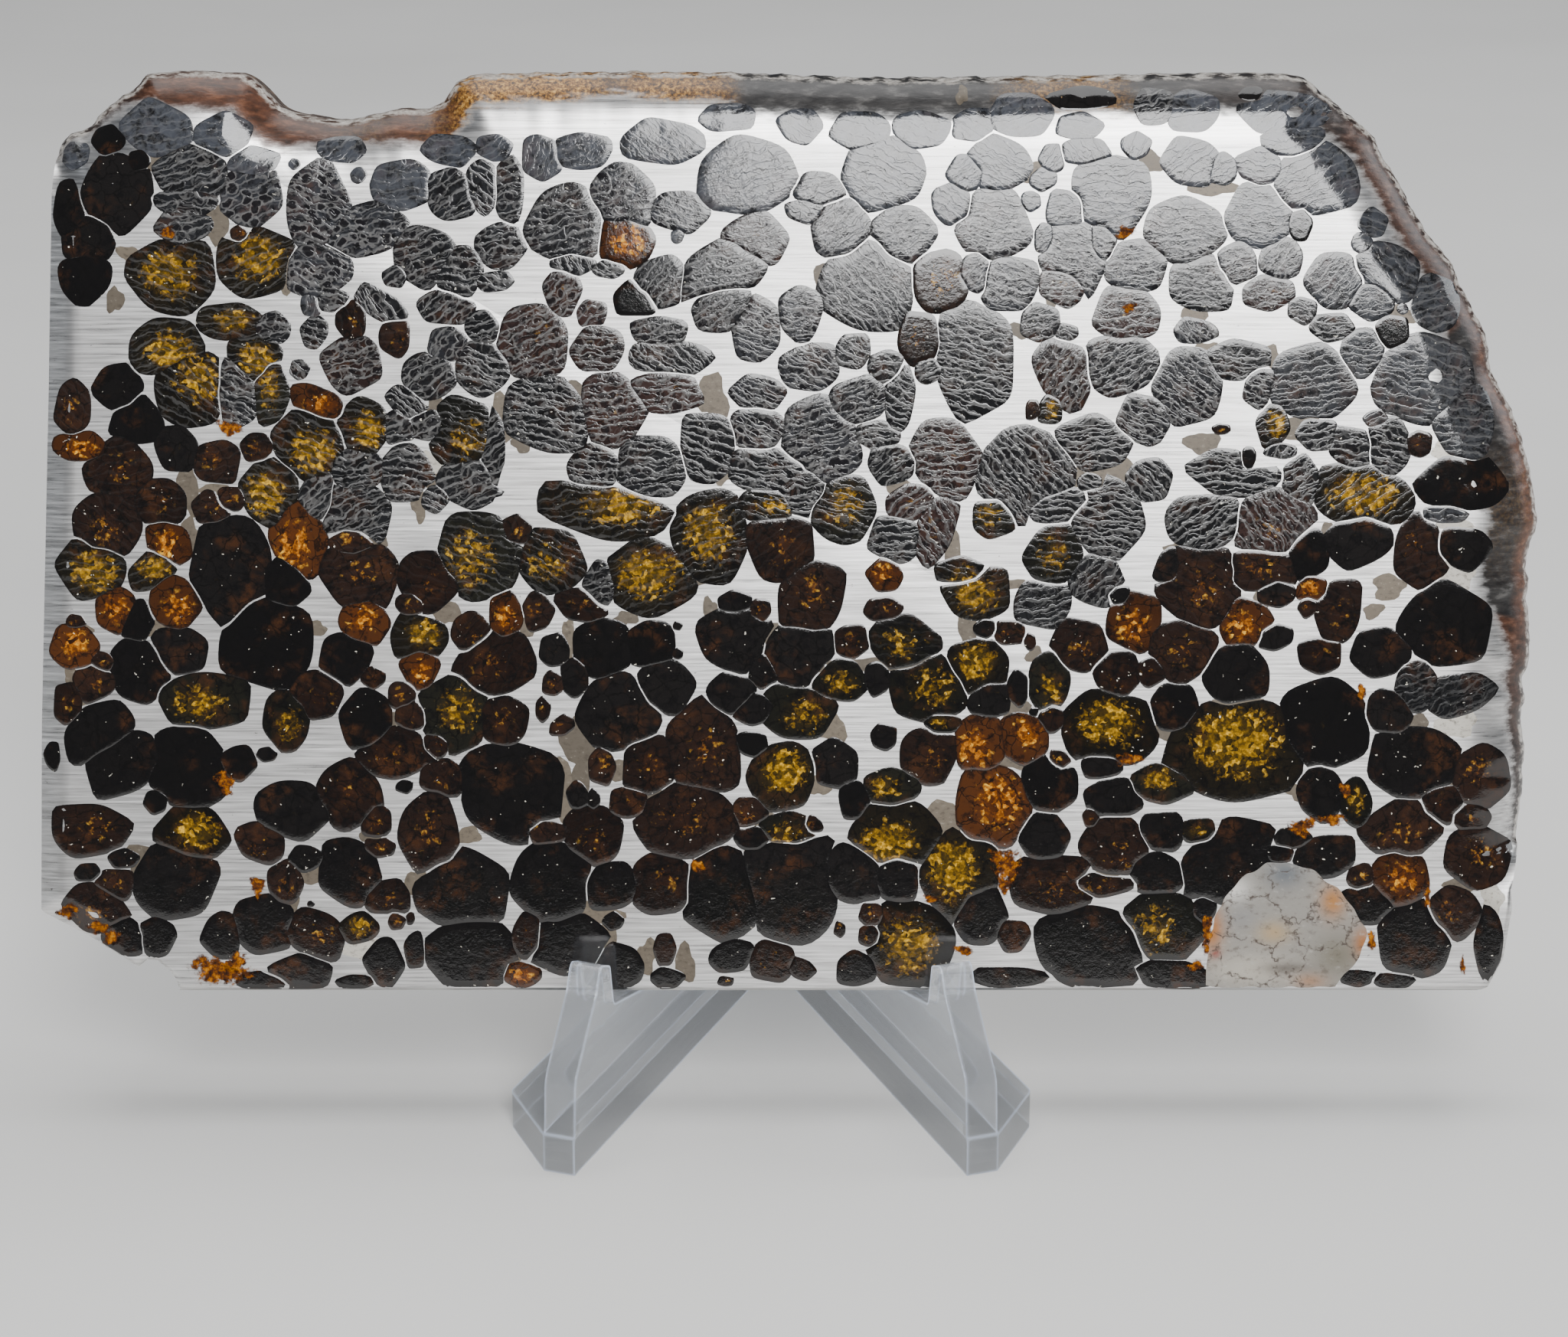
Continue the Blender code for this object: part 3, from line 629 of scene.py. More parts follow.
        (-27.8, 74.9, 2.2, 2.1), (-35.4, 73.9, 2.8, 2.6), (-32, 72.3, 2.2, 2.2), (-28.5, 71.3, 1.7, .9),
        (-21.3, 77, 3.6, 3.4), (-20.8, 73, 2, 1), (-17.2, 72.5, 1.5, .8), (-29.8, 66.8, 1.5, 1.5),
        (-33.3, 68.8, 2.4, 1.5), (-35, 62, 2.3, 2.2), (-29.7, 62.8, 2.3, 2.4), (-12.4, 71.2, 2.8, 2.2, 40),
        (-12.4, 66.3, 2.4, 1.5), (-11.1, 63.8, 3.9, 1.5), (-5.9, 72.3, 4.3, 2.6, 30),
        (-6.2, 68.9, 2.8, 2.3), (-37.2, 59.2, 2.1, 1.4, -40), (-38, 56.8, 1.6, 1.5), (-31, 51.6, 3.3, 2.3),
        (-28.9, 54.2, 1.1, 4), (-35.4, 57.2, 1.9, 1.4), (-37.6, 52.3, 2.3, 2.7), (-34.7, 49.9, 1.3, 1.3),
        (-23.6, 58.2, 4, 3.4, -25), (-7.5, 55.1, 2.55, 3.1), (-18.8, 53, 2.35, 2), (-13.3, 53.2, 3.1, 2.8),
        (-1.5, 52.6, 3.6, 2.2, -12), (-54.2, 60.5, 2.1, 3.5), (-42.6, 48.4, 3.2, 3), (-46.2, 50, 1.6, 2.4),
        (-42.2, 52.6, 2.4, 2), (-18.2, 41.3, 1.3, 2.2), (11.4, 60, 1.3, 3.5), (9.2, 56.1, 2, 1.2),
        (10.7, 53.2, 2.2, 1.85), (18.9, 63.4, 3.5, 5.2), (25.2, 67.3, 1.8, 1.7), (27.9, 66.3, 1, .8),
        (8.3, 70.6, 4.3, 4, -40), (10.3, 62.8, 1.7, 1.6), (24, 51.9, 4.3, 4.3, -35),
        (30.6, 55.3, 3.5, 2.2, -12), (36.3, 51.8, 2, 1.9), (30.4, 51.4, 1.4, .85), (32, 47.9, 3.1, 3.6),
        (27, 49.2, 3, 1.5, 12), (31.2, 41.6, 2.4, 2.4), (25.6, 39.3, 2.7, 2.1),
        (11.1, 45.7, 2.4, 2.1, -20), (1.6, 50.5, 2.5, 2.6), (41.3, 71, 2.9, 2.6), (51.1, 68.5, 1.3, 1.2),
        (54.2, 66.8, 2, 1.2), (44.8, 63.5, 2.8, 1.7), (52.9, 56.2, 1.9, 1.6), (56.4, 54.9, 2.4, 1.8, -25),
        (59.8, 54.9, 2, 2.6), (44.6, 52.4, 4.2, 2, -8), (51.3, 51.5, 1.8, 2.3), (41.5, 47.5, 3.5, 2.5),
        (63.2, 31, 2, 2.2), (67.5, 30.1, 3.3, 1.9, 8), (49.3, 54.6, 1.5, .7), (6.8, 64.5, 1.7, 1.5),
        (14.2, 62.6, 1.2, 1.2), (36.5, 88.3, 2, 1.6),
    ),
    "red_lace": (
        (-42.8, 63.1, 2.6, 2.5), (-21.8, 70.5, 1.6, 2.2), (-18.9, 68.2, 1.4, 1.2), (-25, 65.2, 3.3, 3.3),
        (-17, 58.4, 2.7, 3.4), (-11.5, 60.4, 3.1, 1.9), (16, 53.9, 3, 3.7, 15), (12.5, 49.6, 2.1, 1.6, 20),
        (14.9, 46.5, 1.8, 3, -15), (48.6, 47, 3.8, 3.4), (27.6, 62.3, 2.3, 3.3, 30), (33.9, 68.1, 3, 2.5),
        (47.8, 70.2, 2.3, 1.6), (27.6, 71, 2.3, 1.9), (-2.8, 75.5, 2.8, 2.2), (-18.4, 64.6, 2.3, 2.1),
    ),
    "cells": (
        (-46.1, 72.6, 3, 2.6), (-45.9, 78.7, 2.9, 4), (-41.2, 76.4, 4, 2.2, 10), (-16.1, 79.3, 3, 3),
        (-10.4, 78.3, 2.6, 1.8), (-2.6, 56.7, 2.4, 2.2), (-2.6, 60.3, 2.4, 1.7), (-2.8, 66.5, 2.2, 3),
        (7.3, 59.6, 2.9, 2.1, 20), (3.6, 55.6, 3.6, 3.9), (11.7, 75.9, 2.8, 2.7), (1.6, 68.2, 2, 2.4),
        (5.6, 76.7, 2.5, 2.8), (3.5, 80.2, 2.3, 1.7), (2.2, 78.2, 1.8, 1), (22.3, 71.2, 2.7, 2.4),
        (20.6, 76.9, 3.2, 3.3), (28.6, 73.8, 2.9, 3.6), (35.6, 57.8, 2.35, 2.2), (33.2, 63.2, 3.2, 2.8),
        (39.9, 60.9, 3.1, 3.3), (34.6, 72.7, 2.6, 2.4), (39.5, 76.5, 3.4, 2.8), (44.6, 73, 1.9, 1.8),
        (2.6, 62.8, 2.6, 2.2), (47, 61.1, 1.3, 2), (31.2, 75, 1.4, 1.8), (18.8, 72.2, 1.4, 1.8),
        (-33.2, 65.1, 1.7, 1.5), (-52.4, 79.7, 2.9, 2.7), (40.6, 66.3, 1.9, 1.1), (49, 73.4, 1.9, 1.8),
    ),
    "sheen_veil": (
        (-69.9, 83.6, 1.4, 1.2), (-61.5, 86.2, 3.3, 2.2), (-55.1, 85.6, 2.5, 1.8), (-52.1, 83, 2.2, 1.4),
        (-46.7, 68.9, .9, 1), (-3.6, 81.6, 4.3, 3.4), (-20, 84.1, 2.6, 1.6), (-23.9, 83.5, 1.7, 2),
        (-12, 85, 3.5, 2), (-32.8, 84.1, 2.4, 1.4), (-37.5, 80.8, 2.6, 2.2), (-10.5, 75.7, .6, .6),
        (-48.1, 82.8, .5, .5), (-41.8, 81.7, .7, .7), (9.5, 81.8, 3.6, 3.2), (16.5, 78.9, 1.7, 1.8),
        (21, 82.7, 2.8, 2.4), (17.9, 81.9, 1.7, 1.6), (24.3, 79.2, .9, .9), (25.4, 81.3, 1.2, 1),
        (26.3, 83.4, 1.1, 1.3), (27.8, 78.3, 1.9, 1.8), (25.6, 75.6, .9, 1.4), (32, 79.7, 3.6, 3.7),
        (29.4, 84, 2.3, 1.2), (23.2, 87.6, 2.7, 2), (29, 86.5, 2, 1.2), (39.9, 83, 2.6, 2.1),
        (43.1, 82.3, 1.3, 1.5), (46.8, 82.5, 2.2, 1.6), (52, 81.3, 3.9, 3), (46.7, 77.6, 3, 2.9),
        (54.5, 71.5, 2.7, 2.6), (59.5, 72.2, 2.9, 2.5, -20), (58, 69.6, 2, 1.8), (64.4, 69.2, 2.3, 2.4),
        (57, 64.4, 1.8, 2.2), (63.2, 61.7, 4.3, 4), (52.4, 61.3, 3.7, 3.3), (67.6, 57.3, 2.4, 3.6),
        (61, 68.6, .5, .5), (56.9, 75.1, .9, .9), (58, 77, 1.3, 1.2), (50, 85, 2.7, 1.7),
        (49, 87.9, 4, 1.9), (40, 87.9, 2.5, 1.8), (7.5, 86, 2.6, 1.6), (13.5, 86.2, 2.6, 1.6),
        (58.6, 57.85, 1.1, .75), (65.6, 48.3, 2, .9), (18.5, 86.6, 1.9, 1.5), (-43.5, 84.2, 2, 1.2),
        (-28.5, 84.4, 1.6, 1.2), (-5.5, 87.4, 2.6, 1.2), (1.5, 86.6, 1.9, 1.5), (34.5, 84.6, 1.4, 1.1),
    ),
}
print({look: len(rows) for look, rows in CRYSTALS.items()}, "crystals by look")

# %% [markdown]
# ## The shape of one crystal
#
# A pallasite's crystals are rounded polygons that press against each other. Each one here starts as
# an ellipse with six flattened sides, no two alike. Where two of them meet, the border runs where
# both are equally near for their size. Most such pairs touch, the others leave a thin seam of metal
# between, and none reaches past the crust. The border is found along rays from the crystal's
# middle, as whole arrays.

# %% Crystal sizes, turns and sides as arrays
LOOKS = list(CRYSTALS)
rows = np.array([
    (*row, 0.0)[:5] + (LOOKS.index(look),) for look, found in CRYSTALS.items() for row in found
])
CENTRES, HALVES = rows[:, 0:2], rows[:, 2:4]
TURNS, LOOK = np.radians(rows[:, 4]), rows[:, 5].astype(int)
SIDES = 6
GROWN = 1.16
STEPS_OUT = 44
# The share of pairs that touch and their overlap, then the narrowest seam and how it widens
TOUCHING, OVERLAP = 0.72, 0.05
SEAM_LEAST, SEAM_GROWTH = 0.02, 0.16
CRUST_GAP, CUT_GAP = 0.7, 0.12


def flattened_sides(seed):
    """The direction and the distance of every crystal's six sides, a little uneven."""
    dice = np.random.default_rng(seed)
    even = np.arange(SIDES) * 2 * math.pi / SIDES
    directions = dice.uniform(0.0, 2 * math.pi, (len(CENTRES), 1)) + even
    directions += dice.uniform(-0.30, 0.30, (len(CENTRES), SIDES))
    return directions, dice.uniform(0.90, 1.06, (len(CENTRES), SIDES))


def nearness(places, which, centres, sides):
    """0 at the middle of crystal number which and 1 on its own border, for each place. With c the
    place's reach towards each side over that side's distance, it is (sum of c^9)^(1/9)."""
    apart = places - centres[which]
    turn = TURNS[which]
    across = (apart[..., 0] * np.cos(turn) + apart[..., 1] * np.sin(turn)) / HALVES[which, 0]
    along = (apart[..., 1] * np.cos(turn) - apart[..., 0] * np.sin(turn)) / HALVES[which, 1]
    directions, distances = sides[0][which], sides[1][which]
    reach = across[..., None] * np.cos(directions) + along[..., None] * np.sin(directions)
    return (np.clip(reach / distances, 0.0, None) ** 9).sum(axis=-1) ** (1 / 9) / GROWN


def border(which, centres, sides, spokes):
    """The reach of crystal number which along each of its spokes, in millimetres: the first place
    where it ends, or where a neighbour is nearer, or where the crust or a cut edge begins."""
    size = HALVES.mean(axis=1)
    longest = HALVES[which].max() * 1.25
    reach = np.linspace(0.0, longest, STEPS_OUT)
    places = centres[which] + spoke_rays(spokes)[1][:, None] * reach[None, :, None]
    own = nearness(places, which, centres, sides)
    room = 1.0 - own
    gaps = np.linalg.norm(centres - centres[which], axis=1)
    near = np.flatnonzero(gaps < longest + HALVES.max(axis=1) * 1.2)
    for other in near[near != which]:
        chance = math.sin(12.9898 * (which + other) + 78.233 * abs(which - other)) % 1.0
        gap = -OVERLAP if chance < TOUCHING else SEAM_LEAST + SEAM_GROWTH * (chance - TOUCHING)
        seam = gap * (1 / size[which] + 1 / size[other])
        room = np.minimum(room, nearness(places, other, centres, sides) - own - seam)
    if edge_distance(centres[which][None], ROLLED, SAWN, BEVELLED, BROKEN)[0] < longest + 3.0:
        room = np.minimum(room, edge_distance(places, ROLLED) - CRUST_GAP)
        room = np.minimum(room, edge_distance(places, SAWN, BEVELLED, BROKEN) - CUT_GAP)
    outside = room < 0.0
    last = np.where(outside.any(axis=1), outside.argmax(axis=1), len(reach) - 1)
    first = np.maximum(last - 1, 0)
    spoke = np.arange(spokes)
    before, after = room[spoke, first], room[spoke, last]
    share = np.clip(before / np.maximum(before - after, 1e-9), 0.0, 1.0)
    return np.where(last == 0, 0.0, reach[first] + share * (reach[last] - reach[first]))


print(len(CENTRES), "crystals, from", HALVES.min(), "to", HALVES.max(), "mm in half width")

# %% [markdown]
# ## Crystals as thin inlays
#
# Each crystal is a low closed lid: rings from its middle to its border, a wall that goes down into
# the metal and a bottom. It stands 0.03 mm proud, as harder olivine does after polishing, so its
# border is crisp. The lid carries what its finish reads: the body colour, how much it glows, how
# much lace and painted grey sheen it has, and a pattern place of its own, turned at random.

# %% Body colours and looks
# The pale grey of the last look, the crystals near the top, is a painted sheen of reflected light.
BODY_COLOURS = {
    "black": (0.0060, 0.0050, 0.0046), "brown": (0.0135, 0.0068, 0.0045), "amber": (0.050, 0.016, 0.004),
    "gold": (0.0085, 0.0065, 0.0035), "olive": (0.0080, 0.0075, 0.0050), "lace": (0.0090, 0.0090, 0.0095),
    "red_lace": (0.026, 0.0135, 0.0110), "cells": (0.017, 0.017, 0.019), "sheen_veil": (0.030, 0.031, 0.034),
}
# How much each look glows golden, shows lace (partly a painted reflection), shows round cells and
# carries a painted grey sheen, from 0 to 1
CHARACTER = {
    "black": (0.05, 0.0, 0.0, 0.0), "brown": (0.22, 0.05, 0.0, 0.0), "amber": (0.72, 0.0, 0.0, 0.0),
    "gold": (0.95, 0.35, 0.0, 0.0), "olive": (0.52, 0.40, 0.0, 0.0), "lace": (0.05, 1.0, 0.7, 0.2),
    "red_lace": (0.14, 0.95, 0.8, 0.2), "cells": (0.05, 0.8, 1.0, 0.5), "sheen_veil": (0.0, 0.6, 0.2, 1.0),
}
WARM_LOOKS = ("brown", "amber", "red_lace")
# Millimetres above the metal at a lid's middle, at 92 % of its reach and at its border; its wall
PROUD, WALL = (0.034, 0.030, 0.012), 0.35
colours = np.array([BODY_COLOURS[look] for look in LOOKS])
characters = np.array([CHARACTER[look] for look in LOOKS])


def lid(which, centres, sides, rings, spokes, seed):
    """One crystal: ring k lies at the share rings[k] of the border. Returns its flat places, the
    share at each point and its pattern place, whose third part sets it apart from the others."""
    reach = border(which, centres, sides, spokes)
    if np.median(reach) < 0.25 or reach.max() < 0.3:
        return None
    rays = spoke_rays(spokes)[1] * np.maximum(reach, 0.12)[:, None]
    places = centres[which] + rings[:, None, None] * rays[None]
    share = np.broadcast_to(rings[:, None], places.shape[:2])
    dice = np.random.default_rng(seed + which)
    turn = TURNS[which] + dice.normal(0.0, 0.45)
    apart = places - centres[which]
    pattern = np.stack([
        apart[..., 0] * math.cos(turn) + apart[..., 1] * math.sin(turn),
        apart[..., 1] * math.cos(turn) - apart[..., 0] * math.sin(turn),
        np.full(share.shape, 7.3 * which + seed),
    ], axis=-1)
    spot = dice.uniform(-0.25, 0.25, 2) * HALVES[which]
    glow = np.clip(1.15 - np.linalg.norm((apart - spot) / (HALVES[which] * 0.80), axis=-1), 0.0, 1.0)
    return places, share, pattern, glow, dice.uniform(0.65, 1.35)


def inlay_group(name, chosen, centres, sides, material, front=True, spokes=32, seed=0):
    """One mesh of many lids. Heights: 0.03 mm proud on the lid and nothing at its border; the wall
    goes down 0.35 mm and a bottom closes it. On the back the lids stand proud of the back plane."""
    shares = np.array([0.02, 0.45, 0.75, 0.92, 1.0]) if front else np.array([0.02, 0.7, 1.0])
    rise = np.interp(shares, (0.0, 0.92, 1.0), PROUD)
    count = len(shares)
    block = ring_quads(count + 2, spokes)
    parts = {key: [] for key in ("points", "quads", "caps", "tint", "make", "grain", "glow", "rim", "warm")}
    total = 0
    for which in chosen:
        made = lid(which, centres, sides, shares, spokes, seed)
        if made is None:
            continue
        places, share, pattern, glow, tone = made
        places = np.concatenate([places, places[-1:], places[-1:] * 0.2 + centres[which] * 0.8])
        depth = front_depth(places) if front else np.full(places.shape[:2], THICKNESS)
        outward = np.append(rise, [-WALL, -WALL])[:, None]
        depth = depth - outward if front else depth + outward
        parts["points"].append(lean_back(places[..., 0], places[..., 1], depth).reshape(-1, 3))
        parts["quads"].append((block if front else block[:, ::-1]) + total)
        first = np.arange(spokes) + total
        last = first + (count + 1) * spokes
        parts["caps"] += [first if front else first[::-1], last[::-1] if front else last]
        full = np.concatenate([share, np.ones((2, spokes))])
        look = LOOK[which]
        # Painted sheen: the grey haze grows towards the top, and the lace and cells fade out lower down.
        painted_sheen = np.interp(CENTRES[which, 1], [66.0, 92.0], [0.0, 1.0])
        character = characters[look].copy()
        character[3] = np.clip(character[3] * (0.15 + painted_sheen), 0.0, 1.0)
        bottom = 0.0 if LOOKS[look] in ("gold", "olive") else 0.3
        character[1:3] *= np.interp(CENTRES[which, 1], [32.0, 50.0], [bottom, 1.0])
        parts["tint"].append(np.broadcast_to(colours[look] * tone, (full.size, 3)))
        parts["make"].append(np.broadcast_to(character[1:], (full.size, 3)))
        parts["grain"].append(np.concatenate([pattern, pattern[-1:], pattern[-1:]]).reshape(-1, 3))
        bright = np.concatenate([glow, glow[-1:], glow[-1:]]) * character[0] * (0.75 + 0.35 * tone)
        parts["glow"].append(bright.reshape(-1))
        parts["rim"].append(full.reshape(-1))
        parts["warm"].append(np.full(full.size, float(LOOKS[look] in WARM_LOOKS)))
        total += full.size
    joined = {key: np.concatenate(found) for key, found in parts.items() if key != "caps"}
    piece = make_piece(name, joined["points"], joined["quads"], material,
                       {key: joined[key] for key in ("glow", "rim", "warm")},
                       {key: joined[key] for key in ("tint", "make", "grain")}, parts["caps"])
    print(name, "holds", len(parts["caps"]) // 2, "crystals,", len(joined["quads"]) * 2, "triangles")
    return piece


print("looks:", LOOKS)

# %% [markdown]
# ## Olivine
#
# The polished olivine is glossy. Most of it looks black because it is thick and full of dark veins;
# where light gets through, it glows amber or gold in flakes. Near the top a net of pale threads round
# dark cells is painted, partly fine cracks and partly a painted reflection, under a painted grey
# sheen, and small white glints are painted highlights. One material makes all of them from the
# numbers that each crystal carries, so neighbouring crystals differ as they do in the stone.

# %% One finish for every crystal


def olivine_finish(name):
    """Body colour, golden flakes by glow, pale threads by lace (partly a painted reflection), a painted
    grey sheen, painted white glints, and a dark border.
    """
    material, shader, start = new_material(name, Coat_Roughness=0.06, IOR=1.6)
    grain = attribute(start, "grain", 1)
    lace, cells, painted_sheen = attribute(start, "make", 1).parts()
    glow = attribute(start, "glow", 2)
    rim = attribute(start, "rim", 2)
    tint = attribute(start, "tint", 0)
    warp = grain.noise(0.5, 3.0, 0.6, output=1).shifted((-0.5, -0.5, -0.5)).scaled(1.5)
    bent = grain.shifted(warp)
    mottle = grain.noise(0.9, 4.0, 0.65)
    body = tint.mixed((0.0035, 0.003, 0.003), mottle.between(0.52, 0.35) * 0.75)
    cloud = grain.noise(0.26, 3.0, 0.6)
    body = body.mixed((0.050, 0.019, 0.007), cloud.between(0.50, 0.70) * mottle.between(0.35, 0.65) * 0.8)
    warm = attribute(start, "warm", 2)
    soft = warm.blend((0.125, 0.068, 0.004), (0.150, 0.034, 0.002))
    body = body.mixed(soft, glow * glow * mottle.between(0.28, 0.62) * 0.8)
    cracks = bent.cells(0.55, "DISTANCE_TO_EDGE").between(0.045, 0.008)
    body = body.mixed((0.003, 0.0025, 0.002), cracks * 0.8)
    flakes = bent.stretched(1.0, 1.2, 1.0).cells(1.7, output=1)
    flake = start.node("ShaderNodeSeparateColor", Color=flakes)
    shimmer = flake * 0.40 + grain.noise(2.2, 3.0, 0.6) * 0.80
    gold = shimmer.ramp((0.34, (0.014, 0.009, 0.001)), (0.50, (0.050, 0.030, 0.003)),
                        (0.63, (0.125, 0.066, 0.003)), (0.76, (0.30, 0.155, 0.005)),
                        (0.92, (0.75, 0.44, 0.04)))
    amber = shimmer.ramp((0.34, (0.012, 0.004, 0.001)), (0.50, (0.055, 0.016, 0.002)),
                         (0.63, (0.18, 0.050, 0.004)), (0.76, (0.44, 0.15, 0.010)),
                         (0.92, (0.85, 0.48, 0.05)))
    gold = gold.mixed(amber, warm)
    lit = (glow * 1.2 + shimmer * 1.2 - 1.00).between(0.0, 0.60)
    body = body.mixed(gold, lit * glow.between(0.02, 0.20))
    # The lace: pale threads, partly fine cracks and partly a painted reflection of the light.
    fine = bent.stretched(0.40, 1.40, 1.0).cells(0.92, "DISTANCE_TO_EDGE")
    threads = fine.between(0.058, 0.012)
    winding = start.node("ShaderNodeTexWave", {"bands_direction": "Y"}, 1, Vector=bent, Scale=0.36,
                         Distortion=5.5, Detail=1.5, Detail_Scale=0.9)
    bands = winding.between(0.82, 0.96)
    sheen_lace = bands.maths("MAXIMUM", threads * 0.45) * lace * mottle.between(0.26, 0.46)
    body = body.mixed((0.135, 0.133, 0.131), sheen_lace * 0.80)
    holes = bent.stretched(0.8, 1.15, 1.0).cells(1.05)
    cells = cells * cloud.between(0.38, 0.50)
    hole = holes.between(0.42, 0.34) * cells
    # Painted sheen: a blue-grey haze in the colour, strongest near the top, for light the face mirrors.
    body = body.mixed((0.064, 0.070, 0.086), painted_sheen * mottle.between(0.30, 0.65) * 0.7)
    body = body.mixed((0.007, 0.006, 0.007), hole * 0.9)
    # Pale rings round the dark cells, partly a painted reflection like the lace.
    ring = (holes - 0.49).maths("ABSOLUTE").between(0.10, 0.03) * cells
    body = body.mixed((0.165, 0.160, 0.155), ring * 0.55)
    # Painted glints: small white specks that stand in for highlights of the light.
    painted_glints = grain.stretched(1.0, 1.3, 1.0).noise(1.5, 2.0, 0.7).between(0.715, 0.740)
    body = body.mixed((0.85, 0.80, 0.68), painted_glints * (1 - painted_sheen) * 0.8)
    edge = rim.between(0.90, 0.995)
    body = body.mixed((0.004, 0.0035, 0.0035), edge * 0.65 * (1 - painted_sheen * 0.5))
    relief = (grain.noise(1.4, 4.0, 0.7) + sheen_lace * 0.8).bump(0.5, 0.00002)
    feed(shader, Base_Color=body, Roughness=mottle * 0.06 + 0.035, Normal=relief)
    return material


olivine = olivine_finish("olivine")
front_sides = flattened_sides(11)
for group, looks in (("dark", ("black", "brown")), ("golden", ("amber", "gold", "olive")),
                     ("laced", ("lace", "red_lace", "cells", "sheen_veil"))):
    chosen = np.flatnonzero(np.isin(LOOK, [LOOKS.index(look) for look in looks]))
    inlay_group(f"{group}_crystals", chosen, CENTRES, front_sides, olivine, spokes=40)

# %% [markdown]
# ## The back of the slice
#
# The same crystals reach the back, a few millimetres away from where they show in front. So the
# back uses the same list, with each one moved and reshaped a little.

# %% Crystals on the back
dice = np.random.default_rng(5)
back_centres = CENTRES + dice.uniform(-1.6, 1.6, CENTRES.shape)
back_centres[:, 0] = np.clip(back_centres[:, 0], -72.5, 72.0)
back_centres[:, 1] = np.clip(back_centres[:, 1], 1.2, 88.5)
inlay_group("back_crystals", np.arange(len(CENTRES)), back_centres, flattened_sides(29), olivine,
            front=False, spokes=24, seed=3)

# %% [markdown]
# ## Grey-brown minerals, pale bits and rust
#
# Between the crystals and the metal lie small patches of grey-brown iron minerals, a few pale bits
# of crust and some rust. The minerals are low lids, a hundredth of a millimetre proud, so a crystal
# beside one still covers its border. The rust has crept over metal and crystals alike, so it is a
# little higher and fades out through a ragged, see-through border.

# %% Where the minerals and the rust are: u, v, half width and half height in millimetres
GREY_BROWN = (
    (-56, 77, 1.3, 2.2), (-62, 83.5, .8, 1.6), (-64.5, 74, 1.2, .8), (-66, 69.5, .8, 1.4),
    (-49, 72, 1.2, 1.8), (3.8, 71, 1, 2), (24, 82, 1.6, 1.1), (23.5, 66.5, 1.2, .9), (26.5, 70, .9, 1.3),
    (17.5, 89.5, .6, .9), (36, 83, 1.4, 1), (42, 80.5, 2.4, .9), (40.5, 68.5, 1.1, 1.5),
    (42, 64.5, 1.3, .9), (48, 64, 1, 1.2), (61, 68, 1.8, 1), (-59.2, 50.7, 1, 3), (-59, 46, 1, 2),
    (-63, 37, 3.5, .8), (-70, 36.5, 1.2, .7), (-46.5, 36.8, 1, .7), (-56.2, 50.7, 1.8, .6),
    (-40.4, 45.4, 1, .8), (-34.5, 59.2, 1, 1.5), (-27.5, 57.7, 1.5, 2.5), (-26, 55.2, .9, .9),
    (-21, 60.3, 1.5, 1.2), (-19, 57.2, .9, 1.1), (-36.3, 49.3, .7, 1.8), (-34.8, 51.7, 1.2, .7),
    (-6.2, 52.6, 1.2, 1.5), (-7, 59.8, 1.5, 2.5), (-8, 42.2, 2.5, 1.2), (-33.8, 38.7, 1.5, 1.5),
    (-21.5, 35.3, .7, 2.5), (-25.8, 37, 1, .9), (-15.8, 37.8, 1.2, .8), (-1.5, 36.5, .9, 1.3),
    (-2.3, 33.5, 1.1, .8), (-7.3, 38.4, .8, 1.5), (31.5, 52.5, 3.5, 1.8), (14.3, 47.9, 1, 2),
    (11.5, 51, 1.5, .7), (18.3, 36.5, 1, 2.2), (10, 33.3, 5, .8), (3.8, 34, .8, 1.5),
    (22.3, 41.3, 1.6, .6), (16.8, 44.3, .7, 3), (25, 34.2, .8, .9), (51.3, 57, 2, 1.6), (39.8, 45, 2, .8),
    (53.9, 46, .7, 1.5), (60.2, 41, 1.8, 1.2), (47.8, 39.9, 1.2, 1), (41.5, 55.3, 1.6, 1.3),
    (43, 49.7, 1.8, .7), (58.7, 38.6, 1, .8), (-64, 13.2, 2.2, 1.6), (-50, 9, 1.2, 1.5),
    (-47.5, 12, 1.5, 1.2), (-38.6, 27.7, .9, 1.2), (-71, 32, .8, 1), (-69.8, 29.8, .9, .8),
    (-41.5, 15.8, 1, .8), (-18.5, 8, 2.2, 1.2), (-17.6, 5.7, 1, 1.8), (-36.8, 10.8, 1.2, 1.8),
    (-20.5, 25.3, 2, 2.5), (-20.2, 22, 1, 2.5), (-22, 20.5, 1.2, 3), (-16.5, 22.4, 1.2, 1),
    (-27, 4.3, 1, 1.8), (-31.7, 15.9, 1.2, 1), (-1.2, 16.7, 1.4, 1.6), (-13.5, 20.1, 1.6, .9),
    (-13.8, 3.5, 1, 1.8), (-10, 2.7, 1.2, 1.8), (15.9, 17.3, 1.8, 2.3), (23, 28.6, 1.8, 1.5),
    (23.6, 23.4, 1.8, 1), (32.6, 12, 1.2, .9), (4.4, 27, 2, 1.5), (3.6, 21, 1, 1.2), (51.5, 20.3, 1.2, .9),
    (68.1, 10.8, 1.8, 1), (38.5, 26.4, 1.5, .9), (45, 29.5, 2.5, .6), (65.9, 21.4, 1.3, .8),
    (63.2, 27.4, 1.2, 1),
)
PALE_BITS = (
    (67.2, 27.2, 2.3, 1.3), (66.7, 42.2, 2.2, 1.5), (66.5, 47.4, 1.6, .9), (65.3, 54.6, 1.2, 1),
    (71.2, 9.3, 1.3, 1.6), (-35, 53.2, 1.1, 1.2), (-42, 4.2, 2, 1.4), (-3, 9.3, .5, 3.2),
    (28.9, 2, 1.3, 1.2),
)
